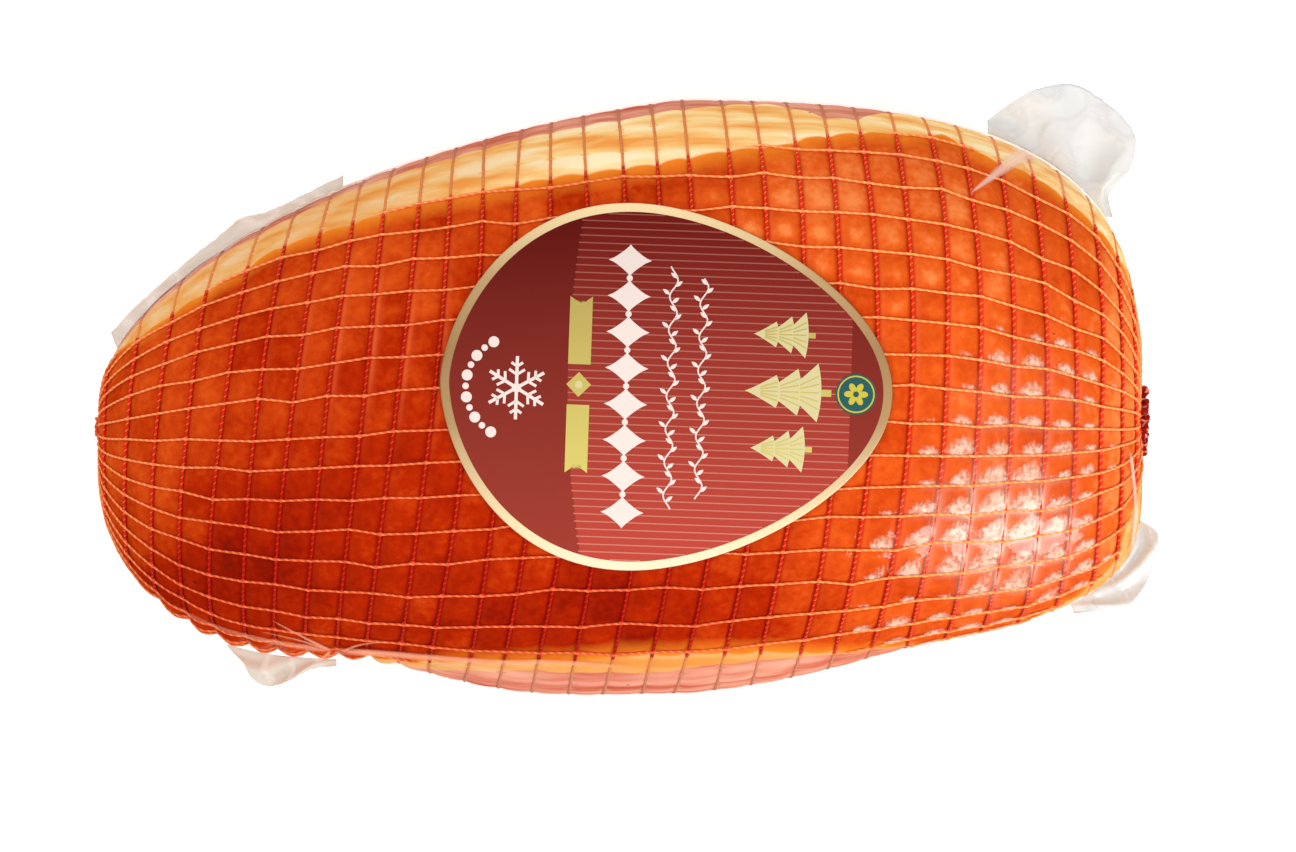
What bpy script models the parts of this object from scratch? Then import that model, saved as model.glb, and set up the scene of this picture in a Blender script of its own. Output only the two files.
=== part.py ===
"""A boneless smoked ham in elastic netting and shrink film, lying on its meat side with the rind up.

The ham's long axis is X, its width is Y, and it rests on the plane z = 0 at the origin. Every piece is placed from one
smooth skin, skin_point, which is the tight film over the crests of the netted cells. Metres throughout.
"""

from math import pi

import bpy
import numpy as np

MM = 0.001
DEG = pi / 180

# The ham: length, the widest station along it, and how far it reaches from its axis each way
LENGTH = 0.300
X_LEFT = -LENGTH / 2
X_RIGHT = LENGTH / 2
X_WIDEST = 0.0177
REACH_BACK = 0.0869
REACH_FRONT = 0.0848
REACH_TOP = 0.070
REACH_BOTTOM = 0.059
AXIS_HEIGHT = 0.054
AXIS_Y_WIDEST = 0.0014
AXIS_Y_LEFT = -0.0072
AXIS_Y_RIGHT = -0.0045
AXIS_BEND_LEFT = 1.3
AXIS_BEND_RIGHT = 2.0

# How each end closes towards the back, the front, the top and the bottom. Blunt: 2 is an ellipse and more is boxier.
# Taper: the share of the reach lost by the end, and the power of its curve, where 1 is a straight slope
BLUNT_LEFT = (2.25, 2.68, 2.6, 2.4)
BLUNT_RIGHT = (3.8, 6.0, 2.8, 3.0)
TAPER_LEFT = (0.21, 0.0, 0.0, 0.0)
TAPER_RIGHT = (0.06, 0.38, 0.0, 0.0)
TAPER_POWER_LEFT = (1.0, 1.0, 1.0, 1.0)
TAPER_POWER_RIGHT = (2.0, 1.4, 1.0, 1.0)
SECTION_POWER_TOP = 2.2
SECTION_POWER_BOTTOM = 2.7

# The gathered netting draws a dimple into each end of the ham
DIMPLE_LEFT = 0.003
DIMPLE_RIGHT = 0.004
DIMPLE_RADIUS = 0.012

# Soft lumps and hollows of the muscle: x, angle round the axis, spread in x, spread in angle, height
LUMPS = (
    (-72 * MM, 180 * DEG, 32 * MM, 38 * DEG, -7.5 * MM),
    (88 * MM, 180 * DEG, 28 * MM, 35 * DEG, -2.8 * MM),
    (-58 * MM, 112 * DEG, 34 * MM, 30 * DEG, 1.8 * MM),
    (88 * MM, 64 * DEG, 26 * MM, 28 * DEG, 2.0 * MM),
    (96 * MM, 128 * DEG, 22 * MM, 24 * DEG, -1.6 * MM),
    (-20 * MM, 322 * DEG, 60 * MM, 12 * DEG, -3.2 * MM),
    (30 * MM, 214 * DEG, 52 * MM, 11 * DEG, -2.6 * MM),
)

# The netting: red rings round the ham, pale strings along it, and how far each presses into the rind
RINGS = 35
STRINGS = 43
RING_SPREAD_LEFT = 0.35
RING_SPREAD_RIGHT = 0.9
STRING_CROWDING = 0.18
STRING_EASING = 0.07
EASING_FROM_X = -0.02
EASING_TO_X = -0.11
STRING_SHIFT = 0.3
RING_DEPTH = 1.9 * MM
STRING_DEPTH = 1.0 * MM
CROSSING_SHARE = 0.3
TIGHT_SPACING = 7.5 * MM
RING_LEAN = 0.085
RING_LEAN_FALL = 0.060
RING_BOW = 1.1
RING_BOW_TURN = -0.55
RING_BOW_RATE = 0.25
RING_END_FADE = 8
FLAT_FADE = 3 * MM

# The egg-shaped label on the film
LABEL_CENTRE = (0.0135, 0.0045)
LABEL_LENGTH = 0.1240
LABEL_WIDTH = 0.0988
LABEL_TURN = -2.0 * DEG
LABEL_TAPER = 0.21
LABEL_THICK = 0.6 * MM
LABEL_GAP = 0.7 * MM
LABEL_SPOKES = 40
LABEL_HOOPS = 5

# The film's loose corners: the stretch of the ham's flank that each leaves, and corners of its free edge, in mm
FILM_THICK = 0.7 * MM
EAR_GAP = 0.6 * MM
EAR_COLUMNS = 16
EAR_ROWS = 4
BACK_RIGHT_ROOT = (106, 140)
BACK_RIGHT_EDGE = ((106, 82), (113, 87), (121, 91), (131, 92), (140, 87), (148, 78), (147, 68), (141, 61), (142, 54))
FRONT_RIGHT_ROOT = (148, 130)
FRONT_RIGHT_EDGE = ((150, -33), (155, -37), (154, -44), (152, -51), (147, -57), (140, -59), (131, -60))
FRONT_LEFT_ROOT = (-112, -81)
FRONT_LEFT_EDGE = ((-113, -69), (-108, -74), (-105, -79), (-100, -81), (-94, -79), (-88, -76), (-81, -75))
BACK_LEFT_ROOT = (-144, -79)
BACK_LEFT_EDGE = ((-146, 21), (-136, 31), (-122, 43), (-113, 50), (-108, 54), (-100, 56), (-79, 66))

# The gathered ends of the netting
KNOT_RIGHT_RADIUS = 10.3 * MM
KNOT_RIGHT_THICK = 5 * MM
KNOT_LEFT_RADIUS = 5 * MM
KNOT_LEFT_THICK = 2.5 * MM
KNOT_GAP = 0.5 * MM
KNOT_FOLDS = 7


def by_side(angle, back, front, top, bottom):
    """A value that goes smoothly between four sides as the angle turns from the back (0) over the top (90)."""
    across, up = np.cos(angle), np.sin(angle)
    level = np.where(across > 0, back, front)
    upright = np.where(up > 0, top, bottom)
    return across**2 * level + up**2 * upright


def signed_power(value, power):
    return np.sign(value) * np.abs(value) ** power


def axis_y(x):
    """The ham's axis drifts towards the front at both ends."""
    left = np.clip((X_WIDEST - x) / (X_WIDEST - X_LEFT), 0, 1) ** AXIS_BEND_LEFT
    right = np.clip((x - X_WIDEST) / (X_RIGHT - X_WIDEST), 0, 1) ** AXIS_BEND_RIGHT
    return AXIS_Y_WIDEST + (AXIS_Y_LEFT - AXIS_Y_WIDEST) * left + (AXIS_Y_RIGHT - AXIS_Y_WIDEST) * right


def end_share(x, angle):
    """How much of its full section the ham keeps at x: 1 at the widest station and 0 at each end."""
    half = np.where(x < X_WIDEST, X_WIDEST - X_LEFT, X_RIGHT - X_WIDEST)
    along = np.clip(np.abs(x - X_WIDEST) / half, 0, 1)
    blunt = np.where(x < X_WIDEST, by_side(angle, *BLUNT_LEFT), by_side(angle, *BLUNT_RIGHT))
    taper = np.where(x < X_WIDEST, by_side(angle, *TAPER_LEFT), by_side(angle, *TAPER_RIGHT))
    power = np.where(x < X_WIDEST, by_side(angle, *TAPER_POWER_LEFT), by_side(angle, *TAPER_POWER_RIGHT))
    return (1 - taper * along**power) * (1 - along**blunt) ** (1 / blunt)


def lump_height(x, angle):
    total = np.zeros(np.broadcast(x, angle).shape)
    for lump_x, lump_angle, spread_x, spread_angle, height in LUMPS:
        turn = (angle - lump_angle + pi) % (2 * pi) - pi
        total += height * np.exp(-(((x - lump_x) / spread_x) ** 2) - (turn / spread_angle) ** 2)
    return total


def dimple(x, radius):
    """How far the gathered netting draws the ham's end in, at a radius from its axis, towards +X."""
    depth = np.where(x < 0, DIMPLE_LEFT, -DIMPLE_RIGHT)
    return depth * np.exp(-((radius / DIMPLE_RADIUS) ** 2))


def raw_skin_point(x, angle):
    """The ham's smooth outside before its weight flattens it on the table."""
    x, angle = np.broadcast_arrays(np.asarray(x, float), np.asarray(angle, float))
    across, up = np.cos(angle), np.sin(angle)
    power = 2 / np.where(up > 0, SECTION_POWER_TOP, SECTION_POWER_BOTTOM)
    reach_y = np.where(across > 0, REACH_BACK, REACH_FRONT)
    reach_z = np.where(up > 0, REACH_TOP, REACH_BOTTOM)
    share = end_share(x, angle)
    lump = lump_height(x, angle)
    aside = share * (reach_y * signed_power(across, power) + lump * across)
    above = share * (reach_z * signed_power(up, power) + lump * up)
    drawn_in = dimple(x, np.hypot(aside, above))
    return np.stack([x + drawn_in, axis_y(x) + aside, AXIS_HEIGHT + above], -1)


def skin_point(x, angle):
    """The film's smooth outside: the ham flattened where it rests."""
    points = raw_skin_point(x, angle)
    points[..., 2] = np.maximum(points[..., 2], 0)
    return points


def ring_x(station, angle):
    """A net ring bows and leans as it goes over the ham, so its x depends on how far across it is."""
    along = station / (LENGTH / 2)
    across = raw_skin_point(station, angle)[..., 1] - axis_y(station)
    lean = RING_LEAN - RING_LEAN_FALL * along
    bow = RING_BOW * np.tanh((along - RING_BOW_TURN) / RING_BOW_RATE)
    return station + (lean * across - bow * across**2) * (1 - along**RING_END_FADE)


def stations(count):
    """The x of count points spaced evenly over the top of the ham from the left end to the right end, ends included.

    The net is stretched wider where it slopes down to the left end, so a drop there counts less than a run.
    """
    x = -np.cos(np.linspace(0, pi, 4001)) * LENGTH / 2
    top = raw_skin_point(x, pi / 2)
    run, drop = np.diff(top[:, 0]), np.diff(top[:, 2])
    spread = np.where(x[1:] < X_WIDEST, RING_SPREAD_LEFT, RING_SPREAD_RIGHT)
    along = np.concatenate([[0], np.cumsum(np.sqrt(run**2 + spread * drop**2))])
    return np.interp(np.linspace(0, along[-1], count), along, x)


def string_angle(turn, x):
    """Strings lie closer together on top of the ham and under it than on its flanks, less so near the left end."""
    share = np.clip((x - EASING_FROM_X) / (EASING_TO_X - EASING_FROM_X), 0, 1)
    return turn + (STRING_CROWDING - STRING_EASING * share) * np.sin(2 * turn)


def grid_normals(points, closed):
    """Outward unit normals of a grid of points, whose rows go round the ham if it is closed."""
    along = np.gradient(points, axis=0)
    if closed:
        round_ = np.roll(points, -1, axis=1) - np.roll(points, 1, axis=1)
    else:
        round_ = np.gradient(points, axis=1)
    normal = np.cross(round_, along)
    size = np.linalg.norm(normal, axis=-1, keepdims=True)
    return normal / np.maximum(size, 1e-12)


def make_material(name, colour, roughness, metallic=0.0, alpha=1.0):
    material = bpy.data.materials.new(name)
    material.use_nodes = True
    shader = material.node_tree.nodes["Principled BSDF"]
    shader.inputs["Base Color"].default_value = (*colour, 1)
    shader.inputs["Roughness"].default_value = roughness
    shader.inputs["Metallic"].default_value = metallic
    shader.inputs["Alpha"].default_value = alpha
    return material


def make_object(name, points, faces, material, smooth=True):
    mesh = bpy.data.meshes.new(name)
    mesh.from_pydata([tuple(p) for p in points], [], faces)
    mesh.materials.append(material)
    if smooth:
        mesh.shade_smooth()
    obj = bpy.data.objects.new(name, mesh)
    bpy.context.scene.collection.objects.link(obj)
    return obj


def netted_ham(material):
    """The ham in its net and tight film: one solid whose surface swells into a pillow in each cell of the net.

    Odd rows lie on rings and even columns on strings, so each cell is a low pyramid of eight triangles.
    """
    rows = 2 * RINGS - 1
    columns = 2 * STRINGS
    station = stations(rows + 2)[1:-1, None]
    turn = (np.arange(columns) / 2 + STRING_SHIFT) * 2 * pi / STRINGS
    angle = string_angle(turn[None, :], station)
    x = ring_x(station, angle)
    points = skin_point(x, angle)
    raw_z = raw_skin_point(x, angle)[..., 2]
    on_ring = (np.arange(rows) % 2 == 0)[:, None]
    on_string = (np.arange(columns) % 2 == 0)[None, :]
    depth = np.where(on_ring, RING_DEPTH, 0) + np.where(
        on_string, STRING_DEPTH * np.where(on_ring, CROSSING_SHARE, 1), 0
    )
    spacing = 2 * np.linalg.norm(points - np.roll(points, -1, axis=1), axis=-1).mean(1, keepdims=True)
    depth = depth * np.clip(spacing / TIGHT_SPACING, 0, 1)
    depth = depth * np.clip(raw_z / FLAT_FADE, 0, 1)
    points = points - grid_normals(points, closed=True) * depth[..., None]
    points[..., 2] = np.maximum(points[..., 2], 0)

    def vertex(row, column):
        return row * columns + column % columns

    faces = []
    for row in range(rows - 1):
        for column in range(columns):
            a, b = vertex(row, column), vertex(row, column + 1)
            c, d = vertex(row + 1, column + 1), vertex(row + 1, column)
            if (row + column) % 2 == 0:
                faces += [(a, b, c), (a, c, d)]
            else:
                faces += [(a, b, d), (b, c, d)]
    left_pole, right_pole = rows * columns, rows * columns + 1
    for column in range(columns):
        faces.append((left_pole, vertex(0, column + 1), vertex(0, column)))
        faces.append((right_pole, vertex(rows - 1, column), vertex(rows - 1, column + 1)))
    poles = [(x + float(dimple(x, 0)), float(axis_y(x)), AXIS_HEIGHT) for x in (X_LEFT, X_RIGHT)]
    return make_object("netted_ham", [*points.reshape(-1, 3), *poles], faces, material)


def angle_over(x, y, lowest, highest):
    """The angle between lowest and highest at which the skin at x has this y."""
    low, high = np.full(x.shape, lowest), np.full(x.shape, highest)
    for _ in range(40):
        middle = (low + high) / 2
        too_far_back = skin_point(x, middle)[..., 1] > y
        low = np.where(too_far_back, middle, low)
        high = np.where(too_far_back, high, middle)
    return (low + high) / 2


def egg_outline(turn):
    """The label's edge: round at its left end and tapering to its right, about its own centre."""
    along = -np.cos(turn)
    fullness = np.where(along < 0, 0.6, 0.5)
    half = np.clip(1 - along**2, 0, 1) ** fullness * (1 - LABEL_TAPER * along)
    x = along * LABEL_LENGTH / 2
    y = np.where(np.sin(turn) > 0, 1, -1) * half * LABEL_WIDTH / 2
    return x, y


def slab(name, points, faces, normals, thick, material):
    """A thin sheet of the given points given its thickness outwards, closed by a rim round its open edge."""
    count = len(points)
    outer = points + normals * thick
    made = [tuple(reversed(f)) for f in faces] + [tuple(i + count for i in f) for f in faces]
    edges = {(f[i], f[(i + 1) % len(f)]) for f in faces for i in range(len(f))}
    for a, b in sorted(edges):
        if (b, a) not in edges:
            made += [(a, b, b + count), (a, b + count, a + count)]
    return make_object(name, [*points, *outer], made, material, smooth=False)


def label(material):
    """The label bends with the top of the ham, just clear of the crests of the cells."""
    turn = np.arange(LABEL_SPOKES) * 2 * pi / LABEL_SPOKES
    edge_x, edge_y = egg_outline(turn)
    share = (np.arange(1, LABEL_HOOPS + 1) / LABEL_HOOPS)[:, None]
    flat_x = np.concatenate([[0], (share * edge_x).ravel()])
    flat_y = np.concatenate([[0], (share * edge_y).ravel()])
    x = LABEL_CENTRE[0] + flat_x * np.cos(LABEL_TURN) - flat_y * np.sin(LABEL_TURN)
    y = LABEL_CENTRE[1] + flat_x * np.sin(LABEL_TURN) + flat_y * np.cos(LABEL_TURN)
    step = 1 * MM
    angle = angle_over(x, y, 0.02 * pi, 0.98 * pi)
    points = skin_point(x, angle)
    to_right = skin_point(x + step, angle_over(x + step, y, 0.02 * pi, 0.98 * pi)) - points
    to_back = skin_point(x, angle_over(x, y + step, 0.02 * pi, 0.98 * pi)) - points
    normals = np.cross(to_right, to_back)
    normals /= np.linalg.norm(normals, axis=1, keepdims=True)
    points = points + normals * LABEL_GAP

    def vertex(hoop, spoke):
        return 1 + hoop * LABEL_SPOKES + spoke % LABEL_SPOKES

    faces = [(0, vertex(0, s), vertex(0, s + 1)) for s in range(LABEL_SPOKES)]
    for hoop in range(LABEL_HOOPS - 1):
        for s in range(LABEL_SPOKES):
            inner_a, inner_b = vertex(hoop, s), vertex(hoop, s + 1)
            outer_a, outer_b = vertex(hoop + 1, s), vertex(hoop + 1, s + 1)
            faces += [(inner_a, outer_a, outer_b), (inner_a, outer_b, inner_b)]
    if np.cross(points[faces[0][1]] - points[0], points[faces[0][2]] - points[0])[2] < 0:
        faces = [tuple(reversed(f)) for f in faces]
    return slab("label", points, faces, normals, LABEL_THICK, material)


def smooth_line(corners, count):
    """Count points spaced evenly along a smooth curve through the corners."""
    corners = np.array(corners, float)
    ends = [2 * corners[:1] - corners[1:2], corners, 2 * corners[-1:] - corners[-2:-1]]
    p = np.concatenate(ends)
    t = np.linspace(0, 1, 20, endpoint=False)[:, None]
    parts = []
    for a, b, c, d in zip(p, p[1:], p[2:], p[3:]):
        parts.append(b + 0.5 * t * (c - a + t * (2 * a - 5 * b + 4 * c - d + t * (3 * (b - c) + d - a))))
    curve = np.concatenate([*parts, corners[-1:]])
    run = np.concatenate([[0], np.cumsum(np.linalg.norm(np.diff(curve, axis=0), axis=1))])
    even = np.linspace(0, run[-1], count)
    return np.stack([np.interp(even, run, curve[:, i]) for i in (0, 1)], -1)


def film_ear(name, root_mm, edge_mm, wave, height, material):
    """A loose corner of the bag: a wavy flap between a stretch of the ham's flank and its free edge."""
    free = smooth_line(edge_mm, EAR_COLUMNS + 1) * MM
    x = np.linspace(root_mm[0], root_mm[1], EAR_COLUMNS + 1) * MM
    side = 1 if free[:, 1].mean() > 0 else -1
    angle = (0 if side > 0 else pi) + side * height / REACH_TOP
    root = skin_point(x, angle)
    step = 1 * MM
    away = skin_point(np.minimum(x + step, X_RIGHT), angle) - skin_point(x - step, angle)
    away = np.stack([-away[:, 1], away[:, 0]], -1) * side
    away /= np.linalg.norm(away, axis=1, keepdims=True)
    near = root[:, :2] + away * EAR_GAP
    out = np.linspace(0, 1, EAR_ROWS + 1)[None, :, None]
    flat = near[:, None] * (1 - out) + free[:, None] * out
    reach = np.linalg.norm(free - near, axis=1)[:, None] * out[..., 0]
    across = np.linspace(0, 1, EAR_COLUMNS + 1)[:, None]
    z = root[:, None, 2] + wave * np.sin(pi * (4.4 * across + 1.7 * out[..., 0])) * np.clip(reach / (6 * MM), 0, 1)
    points = np.concatenate([flat, z[..., None]], -1).reshape(-1, 3)

    def vertex(column, row):
        return column * (EAR_ROWS + 1) + row

    faces = []
    for column in range(EAR_COLUMNS):
        for row in range(EAR_ROWS):
            a, b = vertex(column, row), vertex(column + 1, row)
            c, d = vertex(column + 1, row + 1), vertex(column, row + 1)
            faces += [(a, b, c), (a, c, d)]
    corner = np.cross(points[faces[0][1]] - points[faces[0][0]], points[faces[0][2]] - points[faces[0][0]])
    if corner[2] < 0:
        faces = [tuple(reversed(f)) for f in faces]
    upright = np.tile([0.0, 0.0, 1.0], (len(points), 1))
    return slab(name, points, faces, upright, FILM_THICK, material)


def net_knot(name, end_x, radius, thick, material):
    """The gathered end of the net: a small rosette of folds standing in the dimple at the end of the ham."""
    hoops = ((0.0, 0.0), (0.62, 0.0), (1.0, 0.1), (0.86, 0.62), (0.45, 1.0), (0.0, 0.92))
    spokes = 2 * KNOT_FOLDS
    turn = np.arange(spokes) * 2 * pi / spokes
    fold = np.where(np.arange(spokes) % 2 == 0, 1.0, 0.82)
    outwards = 1 if end_x > 0 else -1
    centre_y = float(axis_y(end_x))
    points = []
    for share, rise in hoops:
        floor = end_x + float(dimple(end_x, share * radius)) * (1 - rise)
        floor += float(dimple(end_x, 0)) * rise
        x = floor + outwards * (KNOT_GAP + rise * thick)
        if share == 0.0:
            points.append((x, centre_y, AXIS_HEIGHT))
            continue
        for t, f in zip(turn, fold):
            spread = share * radius * f
            points.append((x, centre_y + spread * np.cos(t), AXIS_HEIGHT + spread * np.sin(t)))
    last = len(points) - 1

    def vertex(hoop, spoke):
        return 1 + hoop * spokes + spoke % spokes

    faces = [(0, vertex(0, s + 1), vertex(0, s)) for s in range(spokes)]
    for hoop in range(len(hoops) - 3):
        for s in range(spokes):
            a, b = vertex(hoop, s), vertex(hoop, s + 1)
            c, d = vertex(hoop + 1, s + 1), vertex(hoop + 1, s)
            faces += [(a, b, c), (a, c, d)]
    faces += [(last, vertex(len(hoops) - 3, s), vertex(len(hoops) - 3, s + 1)) for s in range(spokes)]
    if outwards < 0:
        faces = [tuple(reversed(f)) for f in faces]
    return make_object(name, points, faces, material, smooth=False)


def build():
    for old in list(bpy.data.objects):
        bpy.data.objects.remove(old)
    rind = make_material("smoked_rind_in_film", (0.62, 0.13, 0.015), 0.2)
    card = make_material("printed_label", (0.22, 0.02, 0.02), 0.4)
    film = make_material("clear_film", (0.85, 0.84, 0.8), 0.15, alpha=0.4)
    cord = make_material("red_net_cord", (0.33, 0.02, 0.015), 0.6)
    netted_ham(rind)
    label(card)
    film_ear("film_ear_back_right", BACK_RIGHT_ROOT, BACK_RIGHT_EDGE, 2 * MM, 4 * MM, film)
    film_ear("film_ear_front_right", FRONT_RIGHT_ROOT, FRONT_RIGHT_EDGE, 1.5 * MM, 3 * MM, film)
    film_ear("film_ear_front_left", FRONT_LEFT_ROOT, FRONT_LEFT_EDGE, 1.2 * MM, 2 * MM, film)
    film_ear("film_ear_back_left", BACK_LEFT_ROOT, BACK_LEFT_EDGE, 0.6 * MM, 5 * MM, film)
    net_knot("net_knot_right", X_RIGHT, KNOT_RIGHT_RADIUS, KNOT_RIGHT_THICK, cord)
    net_knot("net_knot_left", X_LEFT, KNOT_LEFT_RADIUS, KNOT_LEFT_THICK, cord)


build()
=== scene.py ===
"""A netted smoked ham in clear shrink film, with its rind up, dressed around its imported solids."""

from math import pi

import bpy
import numpy as np
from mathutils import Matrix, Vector, noise


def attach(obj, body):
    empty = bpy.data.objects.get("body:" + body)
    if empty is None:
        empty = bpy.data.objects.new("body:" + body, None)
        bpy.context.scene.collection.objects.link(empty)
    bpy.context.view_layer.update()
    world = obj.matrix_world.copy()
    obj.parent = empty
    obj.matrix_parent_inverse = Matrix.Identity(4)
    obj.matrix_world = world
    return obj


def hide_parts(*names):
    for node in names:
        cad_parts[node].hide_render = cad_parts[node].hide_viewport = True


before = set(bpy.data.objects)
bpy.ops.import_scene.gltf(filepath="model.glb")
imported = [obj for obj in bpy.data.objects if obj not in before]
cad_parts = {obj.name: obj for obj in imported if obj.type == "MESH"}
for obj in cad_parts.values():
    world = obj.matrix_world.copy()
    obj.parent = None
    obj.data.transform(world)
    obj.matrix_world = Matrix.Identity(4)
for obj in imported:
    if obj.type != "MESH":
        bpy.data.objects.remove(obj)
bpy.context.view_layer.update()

MM = 0.001
DEG = pi / 180
RANDOM = np.random.default_rng(24)

# The camera stands straight above the ham, and the photo's plan scale holds at the height of its widest
# outline
CAMERA_X = 0.0085
CAMERA_Y = -0.0060
OUTLINE_HEIGHT = 0.055
CAMERA_DISTANCE = 1.5
VIEW_WIDTH = 0.3727
SENSOR = 36.0

# The ham's smooth skin, as in the solids
LENGTH = 0.300
X_LEFT = -LENGTH / 2
X_RIGHT = LENGTH / 2
X_WIDEST = 0.0177
REACH_BACK = 0.0869
REACH_FRONT = 0.0848
REACH_TOP = 0.070
REACH_BOTTOM = 0.059
AXIS_HEIGHT = 0.054
AXIS_Y_WIDEST = 0.0014
AXIS_Y_LEFT = -0.0072
AXIS_Y_RIGHT = -0.0045
AXIS_BEND_LEFT = 1.3
AXIS_BEND_RIGHT = 2.0
BLUNT_LEFT = (2.25, 2.68, 2.6, 2.4)
BLUNT_RIGHT = (3.8, 6.0, 2.8, 3.0)
TAPER_LEFT = (0.21, 0.0, 0.0, 0.0)
TAPER_RIGHT = (0.06, 0.38, 0.0, 0.0)
TAPER_POWER_LEFT = (1.0, 1.0, 1.0, 1.0)
TAPER_POWER_RIGHT = (2.0, 1.4, 1.0, 1.0)
SECTION_POWER_TOP = 2.2
SECTION_POWER_BOTTOM = 2.7
DIMPLE_LEFT = 0.003
DIMPLE_RIGHT = 0.004
DIMPLE_RADIUS = 0.012
LUMPS = (
    (-72 * MM, 180 * DEG, 32 * MM, 38 * DEG, -7.5 * MM),
    (88 * MM, 180 * DEG, 28 * MM, 35 * DEG, -2.8 * MM),
    (-58 * MM, 112 * DEG, 34 * MM, 30 * DEG, 1.8 * MM),
    (88 * MM, 64 * DEG, 26 * MM, 28 * DEG, 2.0 * MM),
    (96 * MM, 128 * DEG, 22 * MM, 24 * DEG, -1.6 * MM),
    (-20 * MM, 322 * DEG, 60 * MM, 12 * DEG, -3.2 * MM),
    (30 * MM, 214 * DEG, 52 * MM, 11 * DEG, -2.6 * MM),
)

# The netting, as in the solids
RINGS = 35
STRINGS = 43
RING_SPREAD_LEFT = 0.35
RING_SPREAD_RIGHT = 0.9
STRING_CROWDING = 0.18
STRING_EASING = 0.07
EASING_FROM_X = -0.02
EASING_TO_X = -0.11
STRING_SHIFT = 0.3
RING_LEAN = 0.085
RING_LEAN_FALL = 0.060
RING_BOW = 1.1
RING_BOW_TURN = -0.55
RING_BOW_RATE = 0.25
RING_END_FADE = 8
TIGHT_SPACING = 7.5 * MM
STATION_STEPS = 4001

# How the cords wander from their even places, in cells, and the waves round the ham in a ring's slips
RING_WANDER = 0.05
STRING_WANDER = 0.055
RING_WAVES = (1, 2, 3, 5)
RING_WAVES_SUM = 1.5

# Relief of the rind under the cords, and how deep each layer lies under the smooth skin
RIND_UNDER_FILM = 0.2 * MM
RING_PILLOW = 0.45 * MM
RING_GROOVE = 0.5 * MM
RING_GROOVE_WIDTH = 1.6 * MM
STRING_PILLOW = 0.25 * MM
STRING_GROOVE = 0.22 * MM
STRING_GROOVE_WIDTH = 1.3 * MM
RING_CORD_DEPTH = 0.72 * MM
STRING_CORD_DEPTH = 0.46 * MM
RING_CORD_RADIUS = 0.52 * MM
STRING_CORD_RADIUS = 0.38 * MM
RING_SUNK = 0.3 * MM
STRING_SUNK = 0.8 * MM
RING_FILM_DIP = 0.26 * MM
STRING_FILM_DIP = 0.2 * MM
FILM_WAVE = 0.10 * MM
FILM_WAVE_SIZE = 6 * MM
SHALLOWER_BY_RING = 0.7
STEPS_A_CELL = 8

# The rind's own unevenness, and how much its edge and the fat's edge wander
LUMP_SIZE = 9 * MM
GRAIN_SIZE = 3 * MM
LUMP_RELIEF = 0.22 * MM
GRAIN_RELIEF = 0.12 * MM
RIND_STEP = 0.2 * MM
RIND_STEP_WIDTH = 3 * MM
RIND_EDGE_WANDER = 1.0 * MM
FAT_EDGE_WANDER = 1.6 * MM
FAT_EDGE_GRAIN = 0.8 * MM
SCALLOP = 0.35 * MM
SOFT_PARTS_FLATTER = 0.55
GIRTH_A_DEGREE = 1.35 * MM

# How deep a cord lies where the net is crowded, as the least share of its depth elsewhere
RING_LEAST = 0.25
STRING_LEAST = 0.4
CROSSING_LEAST = 0.3
CROSSING_DEPTH = 0.58 * MM
CROSSING_UNEVEN = 0.25
STRING_RISE = 0.13
OVER_FAT_BLEND = 1.6 * MM
OVER_LEAN_BLEND = 2 * MM
OVER_LEAN_START = 0.3
RING_POINTS = 400
STRING_POINTS_A_CELL = 10

# The rind's tone, from 0 for dark smoky brown to 1 for pale orange: along X in mm, and its change in
# blotches, which are given by plan places and spreads in mm
TONE_X = (-150, -135, -98, -64, -20, 20, 60, 100, 130, 142, 150)
TONE = (0.62, 0.61, 0.50, 0.41, 0.39, 0.45, 0.61, 0.75, 0.72, 0.93, 1.0)
BLOTCHES = (
    (-112, -52, 30, 15, -0.30),
    (-100, -30, 30, 18, -0.14),
    (-5, -60, 50, 17, -0.11),
    (10, -56, 26, 8, -0.06),
    (52, 60, 44, 20, 0.26),
    (-60, 45, 34, 18, 0.21),
    (90, -54, 30, 18, 0.02),
    (-30, 62, 30, 14, 0.10),
)

# Where the painted highlight on the strip beside each ring is strongest: plan places and spreads in mm,
# and how much. The strip's distance from its ring and its width are in mm
RING_HIGHLIGHTS = (
    (-66, 20, 26, 22, 0.75),
    (105, 10, 46, 46, 0.65),
    (110, -40, 40, 30, 0.9),
    (50, 45, 40, 25, 0.4),
)
HIGHLIGHT_BESIDE = 1.5
HIGHLIGHT_WIDTH = 0.8
HIGHLIGHT_LEAST = 0.04

# Where the lower middle of each cell has a painted highlight: plan places and spreads in mm, and how much
# of the tone
CELL_HIGHLIGHTS = (
    (44, 46, 32, 15, 0.34),
    (84, 40, 22, 18, 0.24),
    (-64, 26, 24, 20, 0.12),
)
SPOT_DOWN = 0.6
SPOT_SPREAD_ALONG = 0.27
SPOT_SPREAD_DOWN = 0.24

# How far cells differ in tone, and the steps through soft noise from cell to cell that pick one apart
# from the next
CELL_SCATTER = 0.13
PICK_STEP_ALONG = 3.7
PICK_STEP_ROUND = 2.9
PICK_SEED = 3.3

# Where wide soft red shadows lie along the rings: plan places and spreads in mm, and how dark
RING_SHADES = (
    (121, 38, 17, 22, 0.75),
    (-95, 0, 36, 60, 0.5),
    (-20, -62, 50, 16, 0.4),
)
SHADE_WIDTH = 1.8 * MM
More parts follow.
